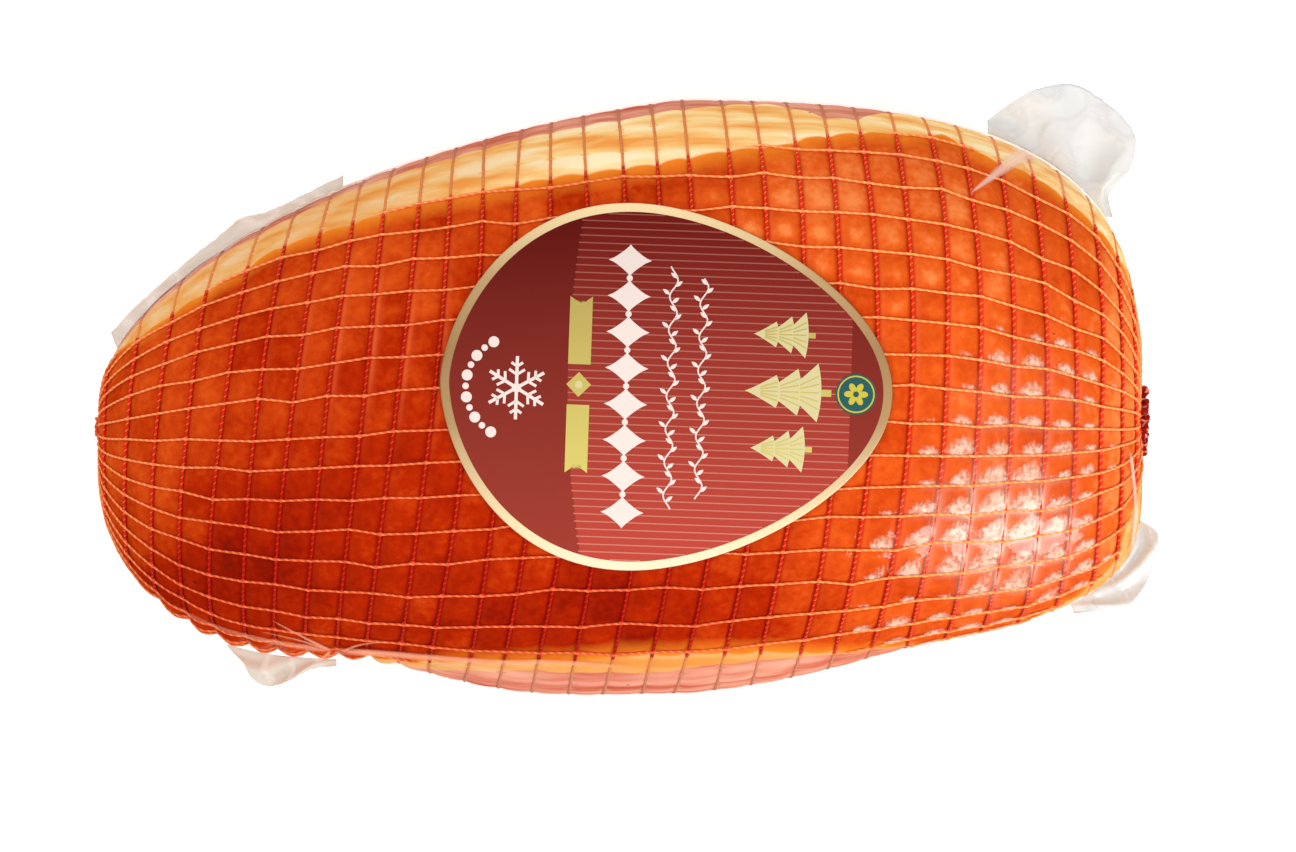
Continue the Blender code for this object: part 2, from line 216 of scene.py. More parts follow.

# Painted highlights, half-moons in the lower part of the cells: plan places and spreads in mm, and how
# large. The sizes of a half-moon below are shares of its cell: at least, and with what the place adds
GLINT_AREAS = (
    (117, 8, 20, 13, 0.42),
    (110, -14, 25, 12, 0.66),
    (106, -35, 25, 18, 1.0),
    (122, -44, 15, 12, 0.7),
    (80, -42, 9, 13, 0.6),
    (92, -62, 26, 7, 0.45),
)
MOON_SCATTER = 0.7
MOON_ONSET = 8
MOON_SLANT = 1.1
MOON_HEIGHT = (0.12, 0.86)
MOON_WIDTH = (0.22, 0.46)
MOON_FOOT = 0.96
MOON_ASIDE = 0.08
MOON_SIDE_SCATTER = 0.2
MOON_FOOT_FADE = 0.08

# Painted sheen on the film along the cords: plan places and spreads in mm, and how much
SHEEN_AREAS = (
    (107, -36, 23, 18, 0.86),
    (113, -8, 20, 22, 0.18),
)
SHEEN_BESIDE = 1.0 * MM
SHEEN_BETWEEN = 0.08
SHEEN_PATCH_SIZE = 5 * MM
SHEEN_PATCHES = (0.3, 0.95, 1.15)

# Where the rind ends and where the fat ends, on the back and on the front: places in mm along X, and
# angles in degrees above the flank
BACK_RIND = (
    (-150, 47), (-144, 48), (-136, 56), (-128, 55.5), (-120, 53.4), (-112, 51.5), (-104, 49),
    (-96, 45.5), (-80, 45), (-60, 44), (-18, 43), (11, 41.7), (20, 40), (35, 37), (45, 35.5),
    (50, 33.7), (60, 30.4), (71, 27), (81, 26.5), (92, 21.8), (98, 25), (105, 27.4), (109, 28),
    (117, 26.5), (124, 28.8), (131, 30.5), (141, 30), (150, 28),
)
BACK_FAT = (
    (-150, 42), (-141, 41), (-129, 36), (-121, 32), (-113, 29), (-101, 27), (-91, 24.5), (-83, 22),
    (-61, 22), (-37, 21.5), (-27, 21), (-17, 20.5), (3, 20.5), (24, 17), (33, 13), (42, 11),
    (50, 15), (58, 21), (68, 20), (76, 11), (86, -4), (150, -6),
)
FRONT_RIND = (
    (-150, -20), (-84, -12), (-70, 17.8), (-61, 21.3), (-46, 28.2), (-27, 31), (-9, 32), (5, 33.2),
    (25, 33), (45, 30.6), (66, 23.5), (76, 20.8), (86, 12), (98, 7), (109, 8), (117, 12), (121, 20),
    (133, 31), (142, 40), (143.5, 52), (150, 60),
)
FRONT_FAT = (
    (-150, -30), (-84, -24), (-70, 5), (-58, 15), (-46, 22), (-28, 26.4), (-9, 26), (5, 25),
    (15, 26.2), (24, 28.3), (35, 27.3), (45, 27), (55, 25.2), (66, 21.8), (76, 19), (88, 11),
    (100, 8), (110, 4), (120, -6), (150, -10),
)

# The cells bulge most along the front flank near the left end: angles in degrees and places along X in mm
PUFF_ANGLE = 176
PUFF_SPREAD = 20
PUFF_FROM_X = -142
PUFF_ONSET = 14
PUFF_TO_X = -58
PUFF_FADE = 16
PUFF_RING = 2.4 * MM
PUFF_TONE = 0.12
OUTER_FROM = 168
OUTER_ONSET = 6

# The film is doubled along the back of the narrow end: its angle and spread in degrees, and where it
# stops along X
DOUBLED_ANGLE = 9
DOUBLED_SPREAD = 11
DOUBLED_TO_X = -58 * MM
DOUBLED_FADE = 24 * MM
DOUBLED_MILK = 0.7

# Creases, where the film is doubled: plan places in mm, half the width in mm at each end, and how milky
# each end is
FRONT_CREASES = (
    (((-128, -56), (-114.6, -62.4), (-100, -66.5), (-81, -69.6)), 0.5, 1.2, 0.12, 0.5),
    (((-81, -69.6), (-68.6, -70), (-54, -71), (-34, -72.2), (-17, -72.2), (6, -74)), 1.3, 0.7, 0.75, 0.35),
    (((-81, -69.6), (-90, -64.5), (-97, -60.5)), 0.7, 0.2, 0.7, 0.3),
    (((-81, -69.6), (-89, -66.6), (-101, -63.8)), 0.5, 0.15, 0.6, 0.2),
    (((-81, -69.6), (-86, -73.0), (-92, -74.4)), 0.6, 0.2, 0.6, 0.3),
    (((-78, -69.7), (-72, -67.4), (-63, -66.4)), 0.5, 0.15, 0.5, 0.2),
)
BACK_CREASES = (
    (((119, 73.5), (112.5, 69.5), (106.5, 65), (98, 58.6)), 3.4, 0.25, 0.8, 0.5),
    (((144.2, -13), (146, -28), (145.5, -42)), 0.7, 0.9, 0.6, 0.6),
)
CREASE_LIFT = 0.08 * MM
CREASE_STEPS = 40
CREASE_STRIPS = 5
CREASE_FADE_STEPS = 4

# The label, in mm about its own centre: X towards its narrow end
LABEL_CENTRE = (0.0135, 0.0045)
LABEL_LENGTH = 124.0
LABEL_WIDTH = 98.8
LABEL_TURN = -2.0 * DEG
LABEL_TAPER = 0.21
LABEL_BLUNT_POWER = 0.6
LABEL_TIP_POWER = 0.5
LABEL_THICK = 0.5 * MM
LABEL_GAP = 0.75 * MM
LABEL_RIM = 2.5
INK = 0.05 * MM
SPLIT_X = -27.0
SPLIT_BOW = 4.0
SPLIT_LEAN = 1.0
TIP_X = 50.5
STRIPE_STEP = 2.05
STRIPE_WIDTH = 0.34
STRIPE_LEAST = 3

# Layers of ink, from the card up
FIELD, LINES, FIGURE, DETAIL, TOP = range(1, 6)

# The film's loose corners, as in the solids: the stretch of flank that each leaves, and its free edge,
# in mm
EAR_GAP = 0.6 * MM
EAR_THICK = 0.16 * MM
EAR_COLUMNS = 80
EAR_ROWS = 26
EAR_RAGGED = 0.5 * MM
EAR_RAGGED_STEP = 0.35
EAR_LOOSE_FROM = 6 * MM
EAR_WAVES_ALONG = 4.4
EAR_WAVES_OUT = 1.7
EAR_CREASE_SIZE = 9 * MM
EAR_CREASE = 0.32 * MM
EAR_FOLD_SIZE = 4 * MM
EAR_FOLD = 0.1 * MM
EAR_SHARPNESS = 4
EAR_FOLD_SEED = 7.7
BACK_RIGHT_ROOT = (106, 140)
BACK_RIGHT_EDGE = (
    (106, 82), (113, 87), (121, 91), (131, 92), (140, 87), (148, 78), (147, 68), (141, 61), (142, 54)
)
FRONT_RIGHT_ROOT = (148, 130)
FRONT_RIGHT_EDGE = ((150, -33), (155, -37), (154, -44), (152, -51), (147, -57), (140, -59), (131, -60))
FRONT_LEFT_ROOT = (-112, -81)
FRONT_LEFT_EDGE = (
    (-113, -69), (-108, -74), (-105, -79), (-100, -81), (-94, -79), (-88, -76), (-81, -75)
)
BACK_LEFT_ROOT = (-144, -79)
BACK_LEFT_EDGE = ((-146, 21), (-136, 31), (-122, 43), (-113, 50), (-108, 54), (-100, 56), (-79, 66))

# The gathered ends of the netting
KNOT_RIGHT_RADIUS = 10.3 * MM
KNOT_RIGHT_THICK = 5 * MM
KNOT_RIGHT_LOOPS = 44
KNOT_RIGHT_CORD = 0.85 * MM
KNOT_LEFT_RADIUS = 5 * MM
KNOT_LEFT_THICK = 2.5 * MM
KNOT_LEFT_LOOPS = 12
KNOT_LEFT_CORD = 0.5 * MM
KNOT_GAP = 0.5 * MM
KNOT_POINTS = 28
KNOT_TURN = 2.4
KNOT_LEAST_RISE = 0.5 * MM

# Patterns, in repeats a metre: patches of rind about 11 mm across, mottling of 2 mm, pores 13 mm apart,
# streaks of fat and lean 6 mm wide, soft waves of 4 mm in the film, streaks of 0.8 mm and spots of
# 1.6 mm in its painted highlights, and the grain of ink and foil, drawn as coarse as it shows
PATCH_SCALE = 90.0
MOTTLE_SCALE = 480.0
PORE_SCALE = 75.0
STREAK_SCALE = 170.0
FILM_WAVE_SCALE = 260.0
FILM_STRAND_SCALE = 1300.0
FILM_PATCH_SCALE = 620.0
INK_SCALE = 1500.0
FOIL_SCALE = 2500.0

# How far the patches and the mottling change the rind's tone, and the share of cells that have a pore
PATCH_STRENGTH = 0.46
MOTTLE_STRENGTH = 0.32
PORE_SHARE = 0.22

# Colours by their places on the ramp, from the darkest tone to the palest
RIND_COLOURS = (
    (0.0, "5E1206"),
    (0.2, "8E1604"),
    (0.4, "AC2604"),
    (0.6, "C84410"),
    (0.8, "DE5C1C"),
    (1.0, "EE8444"),
)
FAT_COLOURS = ((0.32, "F2A04E"), (0.44, "FAC478"), (0.54, "FCD898"), (0.66, "FFEABE"))
LEAN_COLOURS = ((0.3, "C45A44"), (0.75, "F4B498"))

# The foil's colours with a painted reflection, from the label's front edge to its back edge
FOIL_REFLECTION_COLOURS = (
    (0.0, "F0E0BE"),
    (0.12, "EAD2A4"),
    (0.4, "AE8A5C"),
    (0.6, "A07C50"),
    (0.8, "BE9C6C"),
    (1.0, "FCE0AA"),
)

# Between two places on the skin that give its slope, the height below which a point is on the table,
# the least length that is divided by, and how often a search halves its range
SLOPE_STEP = 1 * MM
ON_TABLE = 1e-6
TINY = 1e-12
HALVINGS = 36


def srgb(code):
    """An sRGB hex colour as linear light, with full alpha."""
    parts = [int(code[i : i + 2], 16) / 255 for i in (0, 2, 4)]
    return (*[p / 12.92 if p <= 0.04045 else ((p + 0.055) / 1.055) ** 2.4 for p in parts], 1.0)


def add_node(tree, kind, inputs=None, **settings):
    """A node with its settings. Inputs go by name or number, and are values or other nodes' outputs."""
    node = tree.nodes.new(kind)
    for name, value in settings.items():
        setattr(node, name, value)
    for name, value in (inputs or {}).items():
        if isinstance(value, bpy.types.NodeSocket):
            tree.links.new(value, node.inputs[name])
        else:
            node.inputs[name].default_value = value
    return node


def new_material(name):
    material = bpy.data.materials.new(name)
    material.use_nodes = True
    material.node_tree.nodes.clear()
    return material, material.node_tree


# The ham's skin


def by_side(angle, back, front, top, bottom):
    across, up = np.cos(angle), np.sin(angle)
    return across**2 * np.where(across > 0, back, front) + up**2 * np.where(up > 0, top, bottom)


def signed_power(value, power):
    return np.sign(value) * np.abs(value) ** power


def axis_y(x):
    left = np.clip((X_WIDEST - x) / (X_WIDEST - X_LEFT), 0, 1) ** AXIS_BEND_LEFT
    right = np.clip((x - X_WIDEST) / (X_RIGHT - X_WIDEST), 0, 1) ** AXIS_BEND_RIGHT
    return AXIS_Y_WIDEST + (AXIS_Y_LEFT - AXIS_Y_WIDEST) * left + (AXIS_Y_RIGHT - AXIS_Y_WIDEST) * right


def end_share(x, angle):
    half = np.where(x < X_WIDEST, X_WIDEST - X_LEFT, X_RIGHT - X_WIDEST)
    along = np.clip(np.abs(x - X_WIDEST) / half, 0, 1)
    blunt = np.where(x < X_WIDEST, by_side(angle, *BLUNT_LEFT), by_side(angle, *BLUNT_RIGHT))
    taper = np.where(x < X_WIDEST, by_side(angle, *TAPER_LEFT), by_side(angle, *TAPER_RIGHT))
    power = np.where(
        x < X_WIDEST, by_side(angle, *TAPER_POWER_LEFT), by_side(angle, *TAPER_POWER_RIGHT)
    )
    return (1 - taper * along**power) * (1 - along**blunt) ** (1 / blunt)


def lump_height(x, angle):
    total = np.zeros(np.broadcast(x, angle).shape)
    for lump_x, lump_angle, spread_x, spread_angle, height in LUMPS:
        turn = (angle - lump_angle + pi) % (2 * pi) - pi
        total += height * np.exp(-(((x - lump_x) / spread_x) ** 2) - (turn / spread_angle) ** 2)
    return total


def dimple(x, radius):
    depth = np.where(x < 0, DIMPLE_LEFT, -DIMPLE_RIGHT)
    return depth * np.exp(-((radius / DIMPLE_RADIUS) ** 2))


def raw_skin_point(x, angle):
    x, angle = np.broadcast_arrays(np.asarray(x, float), np.asarray(angle, float))
    across, up = np.cos(angle), np.sin(angle)
    power = 2 / np.where(up > 0, SECTION_POWER_TOP, SECTION_POWER_BOTTOM)
    reach_y = np.where(across > 0, REACH_BACK, REACH_FRONT)
    reach_z = np.where(up > 0, REACH_TOP, REACH_BOTTOM)
    share = end_share(x, angle)
    lump = lump_height(x, angle)
    aside = share * (reach_y * signed_power(across, power) + lump * across)
    above = share * (reach_z * signed_power(up, power) + lump * up)
    drawn_in = dimple(x, np.hypot(aside, above))
    return np.stack([x + drawn_in, axis_y(x) + aside, AXIS_HEIGHT + above], -1)


def skin_point(x, angle):
    points = raw_skin_point(x, angle)
    points[..., 2] = np.maximum(points[..., 2], 0)
    return points


# The net's own coordinates: rings lie at u = 0.5, 1.5 and so on, and strings at whole v


def station_table():
    x = -np.cos(np.linspace(0, pi, STATION_STEPS)) * LENGTH / 2
    top = raw_skin_point(x, pi / 2)
    run, drop = np.diff(top[:, 0]), np.diff(top[:, 2])
    spread = np.where(x[1:] < X_WIDEST, RING_SPREAD_LEFT, RING_SPREAD_RIGHT)
    along = np.concatenate([[0], np.cumsum(np.sqrt(run**2 + spread * drop**2))])
    return along / along[-1] * RINGS, x


STATION_U, STATION_X = station_table()


def ring_x(station, angle):
    along = station / (LENGTH / 2)
    across = raw_skin_point(station, angle)[..., 1] - axis_y(station)
    lean = RING_LEAN - RING_LEAN_FALL * along
    bow = RING_BOW * np.tanh((along - RING_BOW_TURN) / RING_BOW_RATE)
    return station + (lean * across - bow * across**2) * (1 - along**RING_END_FADE)


def string_angle(turn, x):
    """Strings lie closer on top of the ham and under it than on its flanks, less so at the left."""
    share = np.clip((x - EASING_FROM_X) / (EASING_TO_X - EASING_FROM_X), 0, 1)
    return turn + (STRING_CROWDING - STRING_EASING * share) * np.sin(2 * turn)


def wander_table():
    """How far each crossing has slipped, in cells: rings in long waves, strings step by step."""
    string = np.arange(STRINGS)
    rings = np.zeros((RINGS + 2, STRINGS))
    for waves in RING_WAVES:
        phase = RANDOM.uniform(0, 2 * pi, (RINGS + 2, 1))
        height = RANDOM.normal(0, 1, (RINGS + 2, 1))
        rings += height * np.sin(waves * 2 * pi * string / STRINGS + phase) / waves**0.5
    strings = RANDOM.normal(0, 1, (RINGS + 2, STRINGS))
    return np.stack([rings * RING_WANDER / RING_WAVES_SUM, strings * STRING_WANDER], -1)


WANDER = wander_table()


def net_place(u, v):
    """The station and angle of a point of the net, with its slips."""
    row, column = u + 0.5, np.mod(v, STRINGS)
    r0 = np.clip(np.floor(row).astype(int), 0, RINGS)
    c0 = np.floor(column).astype(int) % STRINGS
    fr, fc = (row - r0)[..., None], (column - np.floor(column))[..., None]
    c1 = (c0 + 1) % STRINGS
    slip = (WANDER[r0, c0] * (1 - fc) + WANDER[r0, c1] * fc) * (1 - fr)
    slip += (WANDER[r0 + 1, c0] * (1 - fc) + WANDER[r0 + 1, c1] * fc) * fr
    end = np.clip(np.minimum(u, RINGS - u) / 2, 0, 1)
    station = np.interp(u + slip[..., 0] * end, STATION_U, STATION_X)
    turn = (v + STRING_SHIFT + slip[..., 1] * end) * 2 * pi / STRINGS
    angle = string_angle(turn, station)
    return ring_x(station, angle), angle


def net_surface(u, v):
    """Points of the smooth skin at net coordinates, their outward normals, and a cell's two sizes."""
    step = 0.02
    u, v = np.broadcast_arrays(np.asarray(u, float), np.asarray(v, float))
    u = np.clip(u, step, RINGS - step)
    point = skin_point(*net_place(u, v))
    along = (
        raw_skin_point(*net_place(u + step / 2, v)) - raw_skin_point(*net_place(u - step / 2, v))
    ) / step
    across = (
        raw_skin_point(*net_place(u, v + step / 2)) - raw_skin_point(*net_place(u, v - step / 2))
    ) / step
    normal = np.cross(across, along)
    normal /= np.maximum(np.linalg.norm(normal, axis=-1, keepdims=True), TINY)
    flat = (point[..., 2] <= ON_TABLE)[..., None]
    normal = np.where(flat, np.array([0.0, 0.0, -1.0]), normal)
    return point, normal, np.linalg.norm(along, axis=-1), np.linalg.norm(across, axis=-1)


def from_cords(u, v, cell_u, cell_v):
    """The distance to the nearest ring and the nearest string, and both as shares of half a cell."""
    ring_share = np.abs(u - np.floor(u) - 0.5) * 2
    string_share = np.abs(v - np.round(v)) * 2
    return ring_share * cell_u / 2, string_share * cell_v / 2, ring_share, string_share


def rind_depth(u, v, cell_u, cell_v):
    """How deep the rind lies under the smooth skin: a pillow in each cell, a groove under each cord."""
    ring, string, ring_share, string_share = from_cords(u, v, cell_u, cell_v)
    near_ring = np.exp(-((ring / RING_GROOVE_WIDTH) ** 2))
    near_string = np.exp(-((string / STRING_GROOVE_WIDTH) ** 2))
    depth = RING_PILLOW * (1 - ring_share) ** 2 + RING_GROOVE * near_ring
    by_string = STRING_PILLOW * (1 - string_share) ** 2 + STRING_GROOVE * near_string
    return depth + by_string * (1 - SHALLOWER_BY_RING * near_ring)


def smooth_noise(points, size, seed):
    """Soft noise about 0 at points in metres, with lumps of the given size."""
    scaled = points.reshape(-1, 3) / size + seed
    values = np.array([noise.noise(Vector(p)) for p in scaled.tolist()])
    return values.reshape(points.shape[:-1])


# Meshes


def make_piece(name, points, faces, materials, smooth=True, face_materials=None):
    mesh = bpy.data.meshes.new(name)
    mesh.from_pydata(np.asarray(points, float).reshape(-1, 3).tolist(), [], [list(f) for f in faces])
    for material in materials:
        mesh.materials.append(material)
    if face_materials is not None:
        mesh.polygons.foreach_set("material_index", face_materials)
    if smooth:
        mesh.shade_smooth()
    piece = bpy.data.objects.new(name, mesh)
    bpy.context.scene.collection.objects.link(piece)
    return piece


def set_field(piece, name, values):
    """A number at each vertex, which a material reads by this name."""
    field = piece.data.attributes.new(name, "FLOAT", "POINT")
    field.data.foreach_set("value", np.asarray(values, np.float32).ravel())


def wrapped_faces(rows, columns):
    """Quads of a grid that closes round the ham, and fans that close its ends at two last points."""
    r, c = np.meshgrid(np.arange(rows - 1), np.arange(columns), indexing="ij")
    n = (c + 1) % columns
    quads = np.stack(
        [r * columns + c, r * columns + n, (r + 1) * columns + n, (r + 1) * columns + c], -1
    )
    c = np.arange(columns)
    n = (c + 1) % columns
    left, right = rows * columns, rows * columns + 1
    first = np.stack([np.full(columns, left), n, c], -1)
    last = np.stack([np.full(columns, right), (rows - 1) * columns + c, (rows - 1) * columns + n], -1)
    return [*quads.reshape(-1, 4).tolist(), *first.tolist(), *last.tolist()]


def wrapped_grid(per_cell):
    rows = RINGS * per_cell - 1
    columns = STRINGS * per_cell
    u = (np.arange(rows) + 1)[:, None] / per_cell + np.zeros((1, columns))
    v = np.arange(columns)[None, :] / per_cell + np.zeros((rows, 1))
    return u, v


def pole_points(depth):
    ends = []
    for x, inwards in ((X_LEFT, 1), (X_RIGHT, -1)):
        ends.append((x + float(dimple(x, 0)) + inwards * depth, float(axis_y(x)), AXIS_HEIGHT))
    return np.array(ends)


def edge_distances(x, angle):
    """How far inside the rind's edge and the fat's edge a place lies: negative is past it."""
    turn = (angle / DEG + 90) % 360 - 90
    inside = []
    for back, front in ((BACK_RIND, FRONT_RIND), (BACK_FAT, FRONT_FAT)):
        back = np.interp(x / MM, *np.transpose(back))
        front = np.interp(x / MM, *np.transpose(front))
        inside.append(np.minimum(turn - back, 180 - front - turn) * GIRTH_A_DEGREE)
    return inside


def puff(x, angle):
    """How much more than elsewhere the cells bulge here, from 0 to 1."""
    turn = (angle / DEG + 90) % 360 - 90
    starts = np.clip((x / MM - PUFF_FROM_X) / PUFF_ONSET, 0, 1)
    stops = np.clip((PUFF_TO_X - x / MM) / PUFF_FADE, 0, 1)
    return np.exp(-(((turn - PUFF_ANGLE) / PUFF_SPREAD) ** 2)) * (starts * stops)


def puff_depth(x, angle, ring_share):
    return PUFF_RING * puff(x, angle) * (1 - ring_share) ** 2


def rind_tone(point):
    tone = np.interp(point[..., 0] / MM, TONE_X, TONE)
    for x, y, spread_x, spread_y, change in BLOTCHES:
        off = ((point[..., 0] / MM - x) / spread_x) ** 2 + ((point[..., 1] / MM - y) / spread_y) ** 2
        tone += change * np.exp(-off)
    return tone


def with_poles(values):
    """Values of the skin's grid, and those of its two ends."""
    return np.concatenate([values.ravel(), [values[0].mean(), values[-1].mean()]])


def dressed_ham(material):
    """The ham itself: rind in netted pillows above, and fat and lean showing past the rind's edges."""
    u, v = wrapped_grid(STEPS_A_CELL)
    point, normal, cell_u, cell_v = net_surface(u, v)
    x, angle = net_place(u, v)
    tight = np.clip(cell_v / TIGHT_SPACING, 0, 1)
    lumps = smooth_noise(point, LUMP_SIZE, 3.1)
    grain = smooth_noise(point, GRAIN_SIZE, 8.4)
    rind, fat = edge_distances(x, angle)
    ring, string, ring_share, _ = from_cords(u, v, cell_u, cell_v)
    bow = 2 * np.sqrt(np.clip(1 - (1 - ring_share) ** 2, 0, 1)) - 1
    rind += SCALLOP * bow + RIND_EDGE_WANDER * lumps
    fat += FAT_EDGE_WANDER * lumps + FAT_EDGE_GRAIN * grain
    past_rind = np.clip(0.5 - rind / RIND_STEP_WIDTH, 0, 1)
    depth = rind_depth(u, v, cell_u, cell_v) * (1 - SOFT_PARTS_FLATTER * past_rind)
    depth += puff_depth(x, angle, ring_share)
    rough = LUMP_RELIEF * (0.5 + 0.5 * lumps) + GRAIN_RELIEF * (0.5 + 0.5 * grain)
    depth += RIND_UNDER_FILM + rough + RIND_STEP * past_rind
    surface = point - normal * (depth * tight + RIND_UNDER_FILM * (1 - tight))[..., None]
    surface[..., 2] = np.maximum(surface[..., 2], RIND_UNDER_FILM)
    everything = np.concatenate([surface.reshape(-1, 3), pole_points(2 * RIND_UNDER_FILM)])
    piece = make_piece("ham", everything, wrapped_faces(*u.shape), [material])
    outer = puff(x, angle) * np.clip((np.abs(angle) / DEG - OUTER_FROM) / OUTER_ONSET, 0, 1)
    shown_rind = rind / MM * (1 - outer) + 1.0 * outer
    set_field(piece, "rind_edge", with_poles(np.where(rind > 0, shown_rind, rind / MM)))
    set_field(piece, "fat_edge", with_poles(fat / MM))
    set_field(piece, "ring_gap", with_poles(ring / MM))
    set_field(piece, "string_gap", with_poles(string / MM))
    set_shading_fields(piece, u, v, point, puff(x, angle), ring, cell_u)
    return piece


def set_shading_fields(piece, u, v, point, bulge, ring, cell_u):
    """The rind's tone with painted highlights in some cells, and the painted shade and painted highlight
    strips by the rings.
    """
    # Painted highlights at the lower middle of some cells, added to the tone
    pale = areas_at(CELL_HIGHLIGHTS, point) * cell_middle(u, v)
    tone = rind_tone(point) + pale + PUFF_TONE * bulge + CELL_SCATTER * cell_pick(u, v)
    set_field(piece, "tone", with_poles(tone))
    shade = np.exp(-((ring / SHADE_WIDTH) ** 2)) * areas_at(RING_SHADES, point)
    set_field(piece, "ring_shade", with_poles(shade))
    # A painted highlight on a strip beside each ring
    beside = (u - np.floor(u) - 0.5) * cell_u / MM
    strip = np.exp(-(((beside - HIGHLIGHT_BESIDE) / HIGHLIGHT_WIDTH) ** 2))
    set_field(piece, "ring_glow", with_poles(strip * ring_highlight_share(point)))


def cell_middle(u, v):
    """1 at the lower middle of each cell, falling to 0 near its cords."""
    aside, below = u - np.round(u), v - np.floor(v) - SPOT_DOWN
    return np.exp(-((aside / SPOT_SPREAD_ALONG) ** 2) - (below / SPOT_SPREAD_DOWN) ** 2)


def ring_highlight_share(point):
    """How strong the painted highlight is on the strip of rind to the right of each ring."""
    return np.maximum(areas_at(RING_HIGHLIGHTS, point), HIGHLIGHT_LEAST)


def film_skin(material):
    """The tight clear film: it bridges the grooves and dips a little over each cord."""
    u, v = wrapped_grid(STEPS_A_CELL)
    point, normal, cell_u, cell_v = net_surface(u, v)
    ring, string, ring_share, string_share = from_cords(u, v, cell_u, cell_v)
    tight = np.clip(cell_v / TIGHT_SPACING, 0, 1)
    x, angle = net_place(u, v)
    dip = RING_FILM_DIP * (1 - ring_share) ** 2 + STRING_FILM_DIP * (1 - string_share) ** 2
    waves = smooth_noise(point, FILM_WAVE_SIZE, 12.3)
    depth = dip * tight + FILM_WAVE * (0.5 + 0.5 * waves) + puff_depth(x, angle, ring_share)
    surface = point - normal * depth[..., None]
    surface[..., 2] = np.maximum(surface[..., 2], 0)
    everything = np.concatenate([surface.reshape(-1, 3), pole_points(0.0)])
    piece = make_piece("film_skin", everything, wrapped_faces(*u.shape), [material])
    # Milky doubled film, and painted sheen along the cords
    haze = np.maximum(film_haze(x, angle), cord_sheen(point, ring, string))
    set_field(piece, "haze", np.concatenate([haze.ravel(), [0, 0]]))
    # Painted highlights: half-moons in the lower part of the cells
    set_field(piece, "lifted", np.concatenate([half_moons(u, v, point).ravel(), [0, 0]]))
    return piece


def areas_at(areas, point, power=1):
    """The strongest of some soft spots, given by plan places and spreads in mm, at each point."""
    total = np.zeros(point.shape[:-1])
    for x, y, spread_x, spread_y, most in areas:
        off = ((point[..., 0] / MM - x) / spread_x) ** 2 + ((point[..., 1] / MM - y) / spread_y) ** 2
        total = np.maximum(total, most * np.exp(-(off**power)))
    return total * (point[..., 2] > AXIS_HEIGHT)


def cell_pick(u, v):
    """One soft random number about 0 for each cell of the net."""
    along, around = np.floor(u - 0.5) * PICK_STEP_ALONG, np.floor(v) * PICK_STEP_ROUND
    cells = np.stack([along, around, np.full(u.shape, PICK_SEED)], -1)
    return np.array([noise.noise(Vector(c)) for c in cells.reshape(-1, 3).tolist()]).reshape(u.shape)


def half_moons(u, v, point):
    """The painted highlight's strength here: a low dome above each cell's lower string."""
    cell_u, cell_v = u - np.floor(u - 0.5) - 1.0, v - np.floor(v)
    pick = cell_pick(u, v)
    area = np.clip(areas_at(GLINT_AREAS, point, 2) * (1 + MOON_SCATTER * pick), 0, 1)
    slant = 1 + area * (MOON_SLANT * (cell_u + 0.5) - MOON_SLANT / 2)
    tall = (MOON_HEIGHT[0] + MOON_HEIGHT[1] * area) * slant
    wide = MOON_WIDTH[0] + MOON_WIDTH[1] * area
    aside = cell_u - MOON_ASIDE * area + MOON_SIDE_SCATTER * pick
    dome = 1 - np.hypot(aside / wide, (MOON_FOOT - cell_v) / tall)
    above_string = np.clip((1.0 - cell_v) / MOON_FOOT_FADE, 0, 1)
    return np.clip(dome, 0, 1) * np.clip(area * MOON_ONSET, 0, 1) * above_string


def cord_sheen(point, ring, string):
    """Painted sheen on the film along the cords in the brightest part of the ham."""
    beside = np.maximum(np.exp(-((ring / SHEEN_BESIDE) ** 2)), np.exp(-((string / SHEEN_BESIDE) ** 2)))
    least, usual, most = SHEEN_PATCHES
    patchy = np.clip(usual + smooth_noise(point, SHEEN_PATCH_SIZE, 21.7), least, most)
    return areas_at(SHEEN_AREAS, point, 2) * (SHEEN_BETWEEN + (1 - SHEEN_BETWEEN) * beside) * patchy


def film_haze(x, angle):
    """Where the film is doubled along the back of the narrow end, and looks milky."""
    turn = (angle / DEG + 90) % 360 - 90
    stops = np.clip((DOUBLED_TO_X - x) / DOUBLED_FADE, 0, 1)
    return DOUBLED_MILK * np.exp(-(((turn - DOUBLED_ANGLE) / DOUBLED_SPREAD) ** 4)) * stops


# The net


def edge_mesh(name, lines, closed, fields=None):
    """Lines of points as a mesh of edges, with each point's way along its line and given fields."""
    points, edges, along = [], [], []
    for line in lines:
        first = len(points)
        count = len(line)
        steps = np.linalg.norm(np.diff(line, axis=0), axis=1)
        points += line.tolist()
        along += [0.0, *np.cumsum(steps).tolist()]
        edges += [(first + i, first + i + 1) for i in range(count - 1)]
        if closed:
            edges.append((first + count - 1, first))
    mesh = bpy.data.meshes.new(name)
    mesh.from_pydata(points, edges, [])
    for key, values in {"along": along, **(fields or {})}.items():
        field = mesh.attributes.new(key, "FLOAT", "POINT")
        field.data.foreach_set("value", np.asarray(values, np.float32))
    piece = bpy.data.objects.new(name, mesh)
    bpy.context.scene.collection.objects.link(piece)
    return piece


def new_tree(name, inputs, output):
    """An empty Geometry Nodes tree with named inputs of the given kinds and one output of geometry."""
    tree = bpy.data.node_groups.new(name, "GeometryNodeTree")
    for label, kind in inputs.items():
        tree.interface.new_socket(label, in_out="INPUT", socket_type="NodeSocket" + kind)
    tree.interface.new_socket(output, in_out="OUTPUT", socket_type="NodeSocketGeometry")
    return tree


